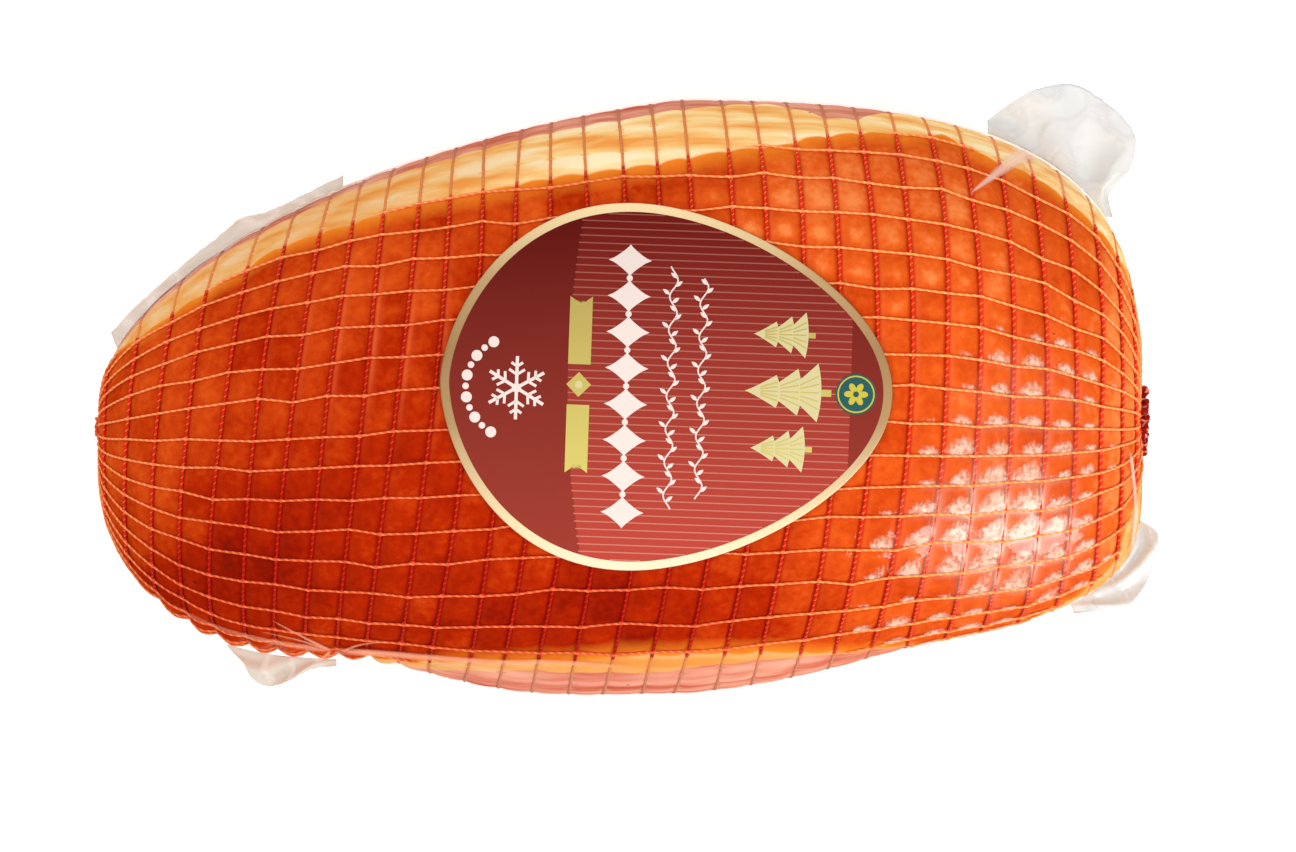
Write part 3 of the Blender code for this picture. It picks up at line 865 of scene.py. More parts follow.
def cord_tree():
    """Geometry Nodes that turn lines into twisted cords of a flattened section."""
    inputs = {
        "Lines": "Geometry",
        "Radius": "Float",
        "Flatness": "Float",
        "Twist Length": "Float",
        "Sides": "Int",
        "Material": "Material",
    }
    tree = new_tree("twisted_cord", inputs, "Cords")
    given = add_node(tree, "NodeGroupInput").outputs
    along = add_node(
        tree, "GeometryNodeInputNamedAttribute", {"Name": "along"}, data_type="FLOAT"
    ).outputs[0]
    turns = add_node(
        tree, "ShaderNodeMath", {0: along, 1: given["Twist Length"]}, operation="DIVIDE"
    ).outputs[0]
    tilt = add_node(tree, "ShaderNodeMath", {0: turns, 1: 2 * pi}, operation="MULTIPLY").outputs[0]
    line = add_node(tree, "GeometryNodeMeshToCurve", {"Mesh": given["Lines"]}).outputs[0]
    turned = add_node(tree, "GeometryNodeSetCurveTilt", {"Curve": line, "Tilt": tilt}).outputs[0]
    circle = {"Resolution": given["Sides"], "Radius": given["Radius"]}
    section = add_node(tree, "GeometryNodeCurvePrimitiveCircle", circle, mode="RADIUS").outputs[0]
    share = add_node(tree, "GeometryNodeSplineParameter").outputs["Factor"]
    turn = add_node(tree, "ShaderNodeMath", {0: share, 1: 2 * pi}, operation="MULTIPLY").outputs[0]
    for name, operation in (("round_x", "COSINE"), ("round_y", "SINE")):
        value = add_node(tree, "ShaderNodeMath", {0: turn}, operation=operation).outputs[0]
        kept = {"Geometry": section, "Name": name, "Value": value}
        section = add_node(
            tree, "GeometryNodeStoreNamedAttribute", kept, data_type="FLOAT", domain="POINT"
        ).outputs[0]
    shape = add_node(
        tree, "ShaderNodeCombineXYZ", {"X": 1.0, "Y": given["Flatness"], "Z": 1.0}
    ).outputs[0]
    flat = add_node(tree, "GeometryNodeTransform", {"Geometry": section, "Scale": shape}).outputs[0]
    swept = {"Curve": turned, "Profile Curve": flat, "Fill Caps": True}
    tube = add_node(tree, "GeometryNodeCurveToMesh", swept).outputs[0]
    smooth = add_node(tree, "GeometryNodeSetShadeSmooth", {0: tube}).outputs[0]
    real = add_node(tree, "GeometryNodeRealizeInstances", {0: smooth}).outputs[0]
    done = add_node(
        tree, "GeometryNodeSetMaterial", {"Geometry": real, "Material": given["Material"]}
    ).outputs[0]
    add_node(tree, "NodeGroupOutput", {"Cords": done})
    return tree


def crossing_tree():
    """Geometry Nodes that set a small knot on each crossing, turned to the surface, a little uneven."""
    inputs = {
        "Crossings": "Geometry",
        "Length": "Float",
        "Width": "Float",
        "Height": "Float",
        "Seed": "Int",
        "Material": "Material",
    }
    tree = new_tree("crossing_knot", inputs, "Knots")
    given = add_node(tree, "NodeGroupInput").outputs
    round_ball = {"Segments": 8, "Rings": 5, "Radius": 1.0}
    ball = add_node(tree, "GeometryNodeMeshUVSphere", round_ball).outputs[0]
    up = add_node(
        tree, "GeometryNodeInputNamedAttribute", {"Name": "up"}, data_type="FLOAT_VECTOR"
    ).outputs[0]
    ahead = add_node(
        tree, "GeometryNodeInputNamedAttribute", {"Name": "ahead"}, data_type="FLOAT_VECTOR"
    ).outputs[0]
    stand = add_node(tree, "FunctionNodeAlignRotationToVector", {"Vector": up}, axis="Z").outputs[0]
    facing = {"Rotation": stand, "Vector": ahead}
    turn = add_node(
        tree, "FunctionNodeAlignRotationToVector", facing, axis="X", pivot_axis="Z"
    ).outputs[0]
    sides = {"X": given["Length"], "Y": given["Width"], "Z": given["Height"]}
    even = add_node(tree, "ShaderNodeCombineXYZ", sides).outputs[0]
    least, most = 1 - CROSSING_UNEVEN, 1 + CROSSING_UNEVEN
    chance = {2: least, 3: most, "Seed": given["Seed"]}
    uneven = add_node(tree, "FunctionNodeRandomValue", chance, data_type="FLOAT").outputs[1]
    size = add_node(tree, "ShaderNodeVectorMath", {0: even, 3: uneven}, operation="SCALE").outputs[0]
    set_out = {"Points": given["Crossings"], "Instance": ball, "Rotation": turn, "Scale": size}
    placed = add_node(tree, "GeometryNodeInstanceOnPoints", set_out).outputs[0]
    real = add_node(tree, "GeometryNodeRealizeInstances", {0: placed}).outputs[0]
    smooth = add_node(tree, "GeometryNodeSetShadeSmooth", {0: real}).outputs[0]
    done = add_node(
        tree, "GeometryNodeSetMaterial", {"Geometry": smooth, "Material": given["Material"]}
    ).outputs[0]
    add_node(tree, "NodeGroupOutput", {"Knots": done})
    return tree


def apply_tree(source, tree, name, values):
    """A plain mesh made from source by a node tree with the given named inputs."""
    modifier = source.modifiers.new("nodes", "NODES")
    modifier.node_group = tree
    keys = {item.name: item.identifier for item in tree.interface.items_tree if item.in_out == "INPUT"}
    for key, value in values.items():
        modifier[keys[key]] = value
    bpy.context.view_layer.update()
    graph = bpy.context.evaluated_depsgraph_get()
    shaped = source.evaluated_get(graph)
    mesh = bpy.data.meshes.new_from_object(shaped, preserve_all_data_layers=True, depsgraph=graph)
    mesh.name = name
    bpy.data.objects.remove(source)
    piece = bpy.data.objects.new(name, mesh)
    bpy.context.scene.collection.objects.link(piece)
    return piece


def cord_cover(u, v):
    """How far a cord is over the fat and over the lean, from 0 to 1, and the rind's tone there."""
    x, angle = net_place(u, v)
    rind, fat = edge_distances(x, angle)
    on_fat = np.clip(-rind / OVER_FAT_BLEND, 0, 1)
    on_lean = np.clip(OVER_LEAN_START - fat / OVER_LEAN_BLEND, 0, 1)
    return on_fat, on_lean, rind_tone(skin_point(x, angle))


def cover_fields(cover):
    return {
        key: np.concatenate(values) for key, values in zip(("on_fat", "on_lean", "tone"), zip(*cover))
    }


def ring_lines():
    """Each ring starts under the ham, so that the join in its twist is out of sight."""
    v = STRINGS * 0.75 + np.linspace(0, STRINGS, RING_POINTS, endpoint=False)
    lines, cover = [], []
    for ring in range(RINGS):
        u = np.full(v.shape, ring + 0.5)
        point, normal, _, cell_v = net_surface(u, v)
        tight = np.clip(cell_v / TIGHT_SPACING, RING_LEAST, 1)
        on_fat, on_lean, tone = cord_cover(u, v)
        depth = RING_CORD_DEPTH * tight + puff_depth(*net_place(u, v), 0.0) + RING_SUNK * on_fat
        lines.append(point - normal * depth[:, None])
        cover.append((on_fat, on_lean, tone))
    return lines, cover


def string_lines():
    """Each string dips between the rings and rises over them."""
    per_cell = STRING_POINTS_A_CELL
    u = np.arange(per_cell // 2, per_cell * RINGS - per_cell // 2 + 1) / per_cell
    near_ring = np.exp(-(((u - np.floor(u) - 0.5) / STRING_RISE) ** 2))
    ring_share = np.abs(u - np.floor(u) - 0.5) * 2
    lines, cover = [], []
    for string in range(STRINGS):
        v = np.full(u.shape, float(string))
        point, normal, _, cell_v = net_surface(u, v)
        tight = np.clip(cell_v / TIGHT_SPACING, STRING_LEAST, 1)
        on_fat, on_lean, tone = cord_cover(u, v)
        depth = STRING_CORD_DEPTH + (RING_CORD_DEPTH - RING_CORD_RADIUS - STRING_CORD_DEPTH) * near_ring
        depth = depth * tight + puff_depth(*net_place(u, v), ring_share) + STRING_SUNK * on_fat
        lines.append(point - normal * depth[:, None])
        cover.append((on_fat, on_lean, tone))
    return lines, cover


def net_rings(tree, material):
    lines, cover = ring_lines()
    source = edge_mesh("ring_lines", lines, True, cover_fields(cover))
    values = {
        "Radius": RING_CORD_RADIUS,
        "Flatness": 0.86,
        "Twist Length": 13 * MM,
        "Sides": 7,
        "Material": material,
    }
    return apply_tree(source, tree, "net_rings", values)


def net_strings(tree, material):
    lines, cover = string_lines()
    source = edge_mesh("string_lines", lines, False, cover_fields(cover))
    values = {
        "Radius": STRING_CORD_RADIUS,
        "Flatness": 0.9,
        "Twist Length": 17 * MM,
        "Sides": 6,
        "Material": material,
    }
    return apply_tree(source, tree, "net_strings", values)


def net_crossings(tree, material):
    """The wrap of string round ring at each crossing."""
    ring, string = np.meshgrid(np.arange(1, RINGS - 1), np.arange(STRINGS), indexing="ij")
    u, v = ring.ravel() + 0.5, string.ravel().astype(float)
    point, normal, _, cell_v = net_surface(u, v)
    step = 0.05
    ahead = net_surface(u + step, v)[0] - net_surface(u - step, v)[0]
    ahead /= np.linalg.norm(ahead, axis=1, keepdims=True)
    tight = np.clip(cell_v / TIGHT_SPACING, CROSSING_LEAST, 1)
    on_fat, on_lean, tone = cord_cover(u, v)
    depth = CROSSING_DEPTH * tight + puff_depth(*net_place(u, v), 0.0) + STRING_SUNK * on_fat
    centres = point - normal * depth[:, None]
    mesh = bpy.data.meshes.new("crossings")
    mesh.from_pydata(centres.tolist(), [], [])
    for name, values in (("up", normal), ("ahead", ahead)):
        field = mesh.attributes.new(name, "FLOAT_VECTOR", "POINT")
        field.data.foreach_set("vector", values.astype(np.float32).ravel())
    for name, values in (("on_fat", on_fat), ("on_lean", on_lean), ("tone", tone)):
        field = mesh.attributes.new(name, "FLOAT", "POINT")
        field.data.foreach_set("value", values.astype(np.float32))
    source = bpy.data.objects.new("crossings", mesh)
    bpy.context.scene.collection.objects.link(source)
    values = {
        "Length": 0.72 * MM, "Width": 0.6 * MM, "Height": 0.38 * MM, "Seed": 5, "Material": material
    }
    return apply_tree(source, tree, "net_crossings", values)


# The label


def angle_over(x, y):
    """The angle at which the top of the skin at x has this y."""
    low, high = np.full(x.shape, 0.02 * pi), np.full(x.shape, 0.98 * pi)
    for _ in range(HALVINGS):
        middle = (low + high) / 2
        too_far_back = skin_point(x, middle)[..., 1] > y
        low = np.where(too_far_back, middle, low)
        high = np.where(too_far_back, high, middle)
    return (low + high) / 2


def on_top(x, y, lift):
    """Points above the top of the ham at plan places in metres, lifted off its skin."""
    point = skin_point(x, angle_over(x, y))
    to_right = skin_point(x + SLOPE_STEP, angle_over(x + SLOPE_STEP, y)) - point
    to_back = skin_point(x, angle_over(x, y + SLOPE_STEP)) - point
    normal = np.cross(to_right, to_back)
    normal /= np.linalg.norm(normal, axis=-1, keepdims=True)
    return point + normal * np.asarray(lift)[..., None]


def on_label(along, across, lift):
    """Points over the label at places in mm about its centre, lifted off its face."""
    along, across = np.broadcast_arrays(np.asarray(along, float), np.asarray(across, float))
    x = LABEL_CENTRE[0] + (along * np.cos(LABEL_TURN) - across * np.sin(LABEL_TURN)) * MM
    y = LABEL_CENTRE[1] + (along * np.sin(LABEL_TURN) + across * np.cos(LABEL_TURN)) * MM
    return on_top(x, y, np.broadcast_to(LABEL_GAP + lift, along.shape))


def egg_half(along, rim):
    """Half the label's width at a place along it, less a rim."""
    t = np.clip(along / (LABEL_LENGTH / 2 - rim), -1, 1)
    fullness = np.where(t < 0, LABEL_BLUNT_POWER, LABEL_TIP_POWER)
    return (1 - t**2) ** fullness * (1 - LABEL_TAPER * t) * (LABEL_WIDTH / 2 - rim)


def egg_edge(turn, rim):
    along = -np.cos(turn) * (LABEL_LENGTH / 2 - rim)
    return along, np.where(np.sin(turn) > 0, 1, -1) * egg_half(along, rim)


def label_card(material):
    """The label's own thin card with a rounded edge, closed underneath."""
    spokes, flat_hoops = 180, 26
    turn = np.arange(spokes) * 2 * pi / spokes
    edge_x, edge_y = egg_edge(turn, 0.0)
    shares = [*np.linspace(0.04, 0.985, flat_hoops), 0.996, 1.0, 1.0, 0.996, 0.9, 0.5]
    heights = [*[1.0] * flat_hoops, 0.9, 0.7, 0.3, 0.0, 0.0, 0.0]
    hoops = [on_label(s * edge_x, s * edge_y, h * LABEL_THICK) for s, h in zip(shares, heights)]
    middle = on_label(np.zeros(1), np.zeros(1), LABEL_THICK)
    under = on_label(np.zeros(1), np.zeros(1), 0.0)
    points = np.concatenate([*hoops, middle, under])
    s = np.arange(spokes)
    n = (s + 1) % spokes
    faces = []
    for hoop in range(len(hoops) - 1):
        a, b = hoop * spokes, (hoop + 1) * spokes
        faces += np.stack([a + s, a + n, b + n, b + s], -1).tolist()
    top, low = len(points) - 2, len(points) - 1
    last = (len(hoops) - 1) * spokes
    faces += np.stack([np.full(spokes, top), n, s], -1).tolist()
    faces += np.stack([np.full(spokes, low), last + s, last + n], -1).tolist()
    return make_piece("label_card", points, faces, [material])


def grid_faces(rows, columns):
    r, c = np.meshgrid(np.arange(rows - 1), np.arange(columns - 1), indexing="ij")
    corner = r * columns + c
    return np.stack([corner, corner + columns, corner + columns + 1, corner + 1], -1).reshape(-1, 4)


class Print:
    """The label's printed shapes, gathered as thin patches of ink, each of one colour."""

    def __init__(self):
        self.points, self.faces, self.inks, self.count = [], [], [], 0

    def add(self, points, faces, ink):
        self.points.append(points)
        self.faces += (np.asarray(faces) + self.count).tolist()
        self.inks += [ink] * len(faces)
        self.count += len(points)

    def sheet(self, along, across, layer, ink):
        """A patch whose places are grids, rows by columns."""
        points = on_label(along, across, LABEL_THICK + INK * layer)
        self.add(points.reshape(-1, 3), grid_faces(*along.shape), ink)

    def spot(self, along, across, radius, layer, ink, steps=24):
        """A patch round a point: radius is a number, or a function of the turn for petals."""
        turn = np.arange(steps) * 2 * pi / steps
        reach = radius(turn) if callable(radius) else np.full(steps, radius)
        hoops = np.array([0.5, 1.0])[:, None]
        x = np.concatenate([[along], (along + hoops * reach * np.cos(turn)).ravel()])
        y = np.concatenate([[across], (across + hoops * reach * np.sin(turn)).ravel()])
        points = on_label(x, y, LABEL_THICK + INK * layer)
        s = np.arange(steps)
        n = (s + 1) % steps
        self.add(points, np.stack([np.zeros(steps, int), 1 + s, 1 + n], -1), ink)
        self.add(points[1:], np.stack([s, steps + s, steps + n, n], -1), ink)

    def line(self, along, across, width, layer, ink):
        """A stroke through places in mm, of one width or of a width at each place."""
        path = np.stack([along, across], -1)
        ahead = np.gradient(path, axis=0)
        ahead /= np.linalg.norm(ahead, axis=1, keepdims=True)
        half = np.broadcast_to(width, along.shape) / 2
        side = np.stack([-ahead[:, 1], ahead[:, 0]], -1) * half[:, None]
        both = np.stack([path + side, path - side], 1)
        self.sheet(both[..., 0], both[..., 1], layer, ink)


# The label's inks, in the order of their materials
MAROON, RED, STRIPE, WHITE, OLIVE, CREAM, TEAL, YELLOW = range(8)


def split_along(share):
    """Where the blunt end's field stops: a shallow arc."""
    return SPLIT_X + SPLIT_BOW * share**2 - SPLIT_LEAN * share


def print_fields(ink):
    """A dark field at each end and a red one between them, with pinstripes."""
    share = np.linspace(-1, 1, 60)[None, :]
    end = (LABEL_LENGTH / 2 - LABEL_RIM) * 0.9999
    crowding = 1.6
    along = -end + (split_along(share) + end) * np.linspace(0, 1, 40)[:, None] ** crowding
    ink.sheet(along, share * egg_half(along, LABEL_RIM), FIELD, MAROON)
    along = split_along(share) + (TIP_X - split_along(share)) * np.linspace(0, 1, 56)[:, None]
    ink.sheet(along, share * egg_half(along, LABEL_RIM), FIELD, RED)
    along = end - (end - TIP_X) * np.linspace(1, 0, 24)[:, None] ** crowding + 0 * share
    ink.sheet(along, share * egg_half(along, LABEL_RIM), FIELD, MAROON)
    print_pinstripes(ink)


def print_pinstripes(ink):
    """Fine pale lines along the red field, each as long as the field is there."""
    along = np.linspace(SPLIT_X - 2, TIP_X, 400)
    half = egg_half(along, LABEL_RIM + 0.2)
    top = LABEL_WIDTH / 2
    nowhere = 1e3
    for across in np.arange(-top, top, STRIPE_STEP):
        starts = max(split_along(across / top), along[half > abs(across)].min(initial=nowhere))
        stops = along[half > abs(across)].max(initial=-nowhere)
        if stops - starts > STRIPE_LEAST:
            x = np.linspace(starts, stops, int((stops - starts) / 2.5) + 2)
            ink.line(x, np.full(x.shape, across), STRIPE_WIDTH, LINES, STRIPE)


def print_snowflake(ink, along, across, reach):
    """A white six-armed snowflake inside an arc of beads."""
    arm_width, twig_width, middle_size = 0.9, 0.75, 1.3
    for arm in range(6):
        turn = arm * pi / 3 + pi / 6
        out = np.linspace(0.12, 1, 6) * reach
        ink.line(along + out * np.cos(turn), across + out * np.sin(turn), arm_width, FIGURE, WHITE)
        for root, twig in ((0.42, 0.30), (0.68, 0.22)):
            for lean in (-1, 1):
                from_x = along + root * reach * np.cos(turn)
                from_y = across + root * reach * np.sin(turn)
                out = np.linspace(0, twig * reach, 3)
                x, y = from_x + out * np.cos(turn + lean), from_y + out * np.sin(turn + lean)
                ink.line(x, y, twig_width, FIGURE, WHITE)
    ink.spot(along, across, middle_size, FIGURE, WHITE)
    arc, bead_step, large_bead, small_bead = 1.62 * reach, 0.215, 1.5, 0.9
    for bead in range(11):
        turn = pi + (bead - 5) * bead_step
        size = large_bead if bead % 2 == 0 else small_bead
        ink.spot(along + arc * np.cos(turn), across + arc * np.sin(turn), size, FIGURE, WHITE)


def print_bands(ink):
    """Two plain olive bands with notched ends, either side of a lozenge."""
    middle, first, last, half_width, notch_depth = -24.0, 5.5, 24.0, 3.1, 2.2
    for side in (-1, 1):
        reach = np.linspace(first, last, 16)[:, None]
        share = np.linspace(-1, 1, 9)[None, :]
        notch = np.where(reach > last - 0.1, -notch_depth * (1 - np.abs(share)), 0.0)
        across = side * (reach + notch) + 0 * share
        along = middle + half_width * share * side + 0 * reach
        ink.sheet(along, across, FIGURE, OLIVE)
    lozenge, dot = 3.4, 1.1
    ink.spot(
        middle,
        0.0,
        lambda t: lozenge / (np.abs(np.cos(t)) + np.abs(np.sin(t))),
        FIGURE,
        OLIVE,
        steps=32,
    )
    ink.spot(middle, 0.0, dot, DETAIL, CREAM)


def print_star_row(ink):
    """A row of large white four-pointed stars with a bead between each two."""
    row, first, apart, stars, bead = -11.0, -34.3, 9.8, 8, 0.85

    def star(t):
        long_arm, short_share, bend, slim = 5.6, 0.72, 0.8, 0.34
        hollow = np.abs(np.cos(t)) ** bend + (np.abs(np.sin(t)) / short_share) ** bend
        return long_arm / hollow ** (1 / bend) + slim

    for step in range(stars):
        across = first + step * apart
        ink.spot(row, across, star, FIGURE, WHITE, steps=48)
        if step < stars - 1:
            ink.spot(row, across + apart / 2, bead, FIGURE, WHITE)


def print_vines(ink):
    """Two thin wavy vines with leaves on alternate sides."""
    sway, wave_length, stem, leaf_step, leaf_length, leaf_lean = 1.1, 9.0, 0.42, 2.25, 1.9, 0.8
    for along, reach, shift in ((1.2, 33.0, 0.0), (9.6, 30.0, 1.2)):
        across = np.linspace(-reach, reach, int(reach * 2.2))
        wave = sway * np.sin(across / wave_length * 2 * pi + shift)
        ink.line(along + wave, across, stem, FIGURE, WHITE)
        for leaf in np.arange(-reach + 2.0, reach - 1.0, leaf_step):
            middle = along + sway * np.sin(leaf / wave_length * 2 * pi + shift)
            side = 1 if int(round((leaf + reach) / leaf_step)) % 2 else -1
            out = np.linspace(0, leaf_length, 6)
            width = 0.95 * np.sin(out / leaf_length * pi) + 0.1
            ink.line(middle + side * out, leaf + leaf_lean * out, width, FIGURE, WHITE)


def print_tree(ink, along, across, height, width):
    """A fir tree pointing to the label's blunt end, in three tiers with needles marked on it."""
    tiers = ((0.0, 0.46, 0.56), (0.24, 0.74, 0.80), (0.50, 1.0, 1.0))
    flare, sag, needle_width = 1.15, 0.05, 0.32
    for top, foot, spread in tiers:
        down = np.linspace(top, foot, 12)[:, None]
        share = np.linspace(-1, 1, 13)[None, :]
        half = spread * width / 2 * ((down - top) / (foot - top)) ** flare
        droop = sag * height * share**2 * ((down - top) / (foot - top))
        ink.sheet(along + down * height - droop + 0 * share, across + half * share, FIGURE + top, CREAM)
        for needle in (-0.62, -0.32, 0.0, 0.32, 0.62):
            s = np.linspace(0.45, 0.93, 4)
            x = along + (top + (foot - top) * s) * height
            y = across + needle * spread * width / 2 * s**flare
            ink.line(x, y, needle_width, DETAIL, OLIVE)
    trunk = np.linspace(1.0, 1.13, 3)[:, None] * height + along
    trunk_across = across + np.linspace(-0.06, 0.06, 3)[None, :] * width + 0 * trunk
    ink.sheet(trunk + np.zeros((1, 3)), trunk_across, FIGURE, OLIVE)


def print_disc(ink, along, across):
    """A small teal disc with a yellow six-petalled flower and rim."""
    disc, rim, rim_width, eye, petal = 5.6, 4.9, 0.4, 1.6, 1.7
    ink.spot(along, across, disc, FIGURE, TEAL, steps=48)
    turn = np.linspace(0, 2 * pi, 49)
    ink.line(along + rim * np.cos(turn), across + rim * np.sin(turn), rim_width, DETAIL, YELLOW)
    ink.spot(along, across, lambda t: eye + petal * np.abs(np.cos(3 * t)), DETAIL, YELLOW, steps=72)
    ink.spot(along, across, eye / 2, TOP, TEAL)


def label_print(materials):
    """The whole print, in mm about the label's centre."""
    ink = Print()
    print_fields(ink)
    print_snowflake(ink, -41.0, -1.5, 8.6)
    print_bands(ink)
    print_star_row(ink)
    print_vines(ink)
    for along, across, height, width in (
        (23.5, 15.5, 15.0, 12.5), (21.5, 0.0, 21.0, 16.0), (23.5, -15.5, 15.0, 12.5)
    ):
        print_tree(ink, along, across, height, width)
    print_disc(ink, 52.0, 0.0)
    return make_piece(
        "label_print", np.concatenate(ink.points), ink.faces, materials, face_materials=ink.inks
    )


# The film's loose corners


def smooth_line(corners, count):
    """Count points spaced evenly along a smooth curve through the corners."""
    corners = np.array(corners, float)
    p = np.concatenate([2 * corners[:1] - corners[1:2], corners, 2 * corners[-1:] - corners[-2:-1]])
    steps_a_span = 20
    t = np.linspace(0, 1, steps_a_span, endpoint=False)[:, None]
    parts = []
    for a, b, c, d in zip(p, p[1:], p[2:], p[3:]):
        parts.append(
            b + 0.5 * t * (c - a + t * (2 * a - 5 * b + 4 * c - d + t * (3 * (b - c) + d - a)))
        )
    curve = np.concatenate([*parts, corners[-1:]])
    run = np.concatenate([[0], np.cumsum(np.linalg.norm(np.diff(curve, axis=0), axis=1))])
    even = np.linspace(0, run[-1], count)
    return np.stack([np.interp(even, run, curve[:, i]) for i in (0, 1)], -1)


def film_creases(name, creases, material):
    """Thin strips of doubled film along the creases, clear at their edges."""
    points, faces, haze = [], [], []
    steps = np.arange(CREASE_STEPS)
    fade = np.clip(np.minimum(steps, steps[::-1]) / CREASE_FADE_STEPS, 0, 1)[:, None]
    share = np.linspace(-1, 1, CREASE_STRIPS)[None, :]
    for path, first_width, last_width, first_milk, last_milk in creases:
        middle = smooth_line(path, CREASE_STEPS)
        ahead = np.gradient(middle, axis=0)
        ahead /= np.linalg.norm(ahead, axis=1, keepdims=True)
        side = np.stack([-ahead[:, 1], ahead[:, 0]], -1)
        width = np.linspace(first_width, last_width, CREASE_STEPS)[:, None] * share
        plan = (middle[:, None] + side[:, None] * width[..., None]) * MM
        strip = on_top(plan[..., 0], plan[..., 1], np.full(width.shape, CREASE_LIFT))
        faces += (grid_faces(CREASE_STEPS, CREASE_STRIPS) + sum(len(p) for p in points)).tolist()
        points.append(strip.reshape(-1, 3))
        milk = np.linspace(first_milk, last_milk, CREASE_STEPS)[:, None] * fade * (1 - share**2)
        haze.append(milk.ravel())
    piece = make_piece(name, np.concatenate(points), faces, [material])
    set_field(piece, "haze", np.concatenate(haze))
    return piece


def film_ear(name, root_mm, edge_mm, wave, height, milk, seed, material):
    """A loose corner of the bag: a crumpled flap between a stretch of flank and its free edge."""
    free = smooth_line(edge_mm, EAR_COLUMNS + 1) * MM
    x = np.linspace(root_mm[0], root_mm[1], EAR_COLUMNS + 1) * MM
    side = 1 if free[:, 1].mean() > 0 else -1
    angle = (0 if side > 0 else pi) + side * height / REACH_TOP
    root = skin_point(x, angle)
    ahead = skin_point(np.minimum(x + SLOPE_STEP, X_RIGHT), angle) - skin_point(x - SLOPE_STEP, angle)
    away = np.stack([-ahead[:, 1], ahead[:, 0]], -1) * side
    away /= np.linalg.norm(away, axis=1, keepdims=True)
    near = root[:, :2] - away * 0.2 * EAR_GAP
    across = np.linspace(0, 1, EAR_COLUMNS + 1)[:, None]
    out = np.linspace(0, 1, EAR_ROWS + 1)[None, :]
    along_edge = (Vector((seed, i * EAR_RAGGED_STEP, 0.0)) for i in range(EAR_COLUMNS + 1))
    ragged = EAR_RAGGED * np.array([noise.noise(place) for place in along_edge])
    free = free - away * np.abs(ragged)[:, None]
    flat = near[:, None] * (1 - out[..., None]) + free[:, None] * out[..., None]
    reach = np.linalg.norm(free - near, axis=1)[:, None] * out
    loose = np.clip(reach / EAR_LOOSE_FROM, 0, 1)
    z = root[:, None, 2] + wave * np.sin(pi * (EAR_WAVES_ALONG * across + EAR_WAVES_OUT * out)) * loose
    points = np.concatenate([flat, z[..., None]], -1)
    creases = 1 - np.abs(smooth_noise(points, EAR_CREASE_SIZE, seed)) * EAR_SHARPNESS
    folds = 1 - np.abs(smooth_noise(points, EAR_FOLD_SIZE, seed + EAR_FOLD_SEED)) * EAR_SHARPNESS
    points[..., 2] += (EAR_CREASE * creases + EAR_FOLD * folds) * loose
    piece = make_piece(name, *thick_sheet(points, EAR_THICK), [material])
    haze = milk * (0.75 + 0.5 * np.clip(1 - creases, 0, 1)).ravel()
    set_field(piece, "haze", np.concatenate([haze, haze]))
    return piece


def thick_sheet(points, thick):
    """The points and faces of a sheet, rows by columns, with an underside and a wall round its edge."""
    rows, columns = points.shape[:2]
    top = points.reshape(-1, 3)
    count = len(top)
    faces = grid_faces(rows, columns)
    a, b, c = (top[faces[0][i]] for i in range(3))
    if np.cross(b - a, c - a)[2] < 0:
        faces = faces[:, ::-1]
    index = np.arange(count).reshape(rows, columns)
    rim = np.concatenate([index[:, 0], index[-1, 1:], index[-2::-1, -1], index[0, -2:0:-1]])
    following = np.roll(rim, -1)
    walls = np.stack([rim, following, following + count, rim + count], -1)
    edges = {(int(f[i]), int(f[(i + 1) % 4])) for f in faces for i in range(4)}
    if (int(rim[0]), int(following[0])) in edges:
        walls = walls[:, ::-1]
    everything = [*faces.tolist(), *(faces[:, ::-1] + count).tolist(), *walls.tolist()]
    return np.concatenate([top, top - np.array([0, 0, thick])]), everything


# The gathered ends of the netting


def knot_loops(end_x, radius, thick, count, seed):
    """Loops of cord that stand in the dimple at the end of the ham, crowded and crossing."""
    rng = np.random.default_rng(seed)
    outwards = 1 if end_x > 0 else -1
    centre_y = float(axis_y(end_x))
    floor = end_x + float(dimple(end_x, 0)) + outwards * KNOT_GAP
    lines = []
    for loop in range(count):
        turn = loop * KNOT_TURN + rng.uniform(-0.3, 0.3)
        reach = radius * rng.uniform(0.6, 1.0)
        breadth = radius * rng.uniform(0.22, 0.4)
        height = thick * rng.uniform(0.7, 1.15)
        t = np.linspace(0, 2 * pi, KNOT_POINTS, endpoint=False)
        out = reach * (0.5 - 0.5 * np.cos(t))
        side = breadth * np.sin(t) * (0.6 + 0.4 * np.cos(t))
        rise = height * (0.3 + 0.7 * np.sin(t / 2) ** 0.5) * (0.85 + 0.15 * np.cos(3 * t + loop))
        y = centre_y + out * np.cos(turn) - side * np.sin(turn)
        z = AXIS_HEIGHT + out * np.sin(turn) + side * np.cos(turn)
        x = floor + outwards * np.clip(rise, KNOT_LEAST_RISE, thick)
        lines.append(np.stack([x, y, z], -1))
    return lines


def net_knot(name, tree, end_x, radius, thick, count, cord_radius, seed, material):
    lines = edge_mesh(name + "_lines", knot_loops(end_x, radius, thick, count, seed), True)
    values = {
        "Radius": cord_radius,
        "Flatness": 0.8,
        "Twist Length": 20 * MM,
        "Sides": 7,
        "Material": material,
    }
    return apply_tree(lines, tree, name, values)


# Materials


def set_stops(ramp, stops):
    """Gives a colour ramp its stops, first to last, as places along it and sRGB codes."""
    elements = ramp.color_ramp.elements
    elements[0].position, elements[1].position = stops[0][0], stops[-1][0]
    elements[0].color, elements[1].color = srgb(stops[0][1]), srgb(stops[-1][1])
    for position, code in stops[1:-1]:
        elements.new(position).color = srgb(code)


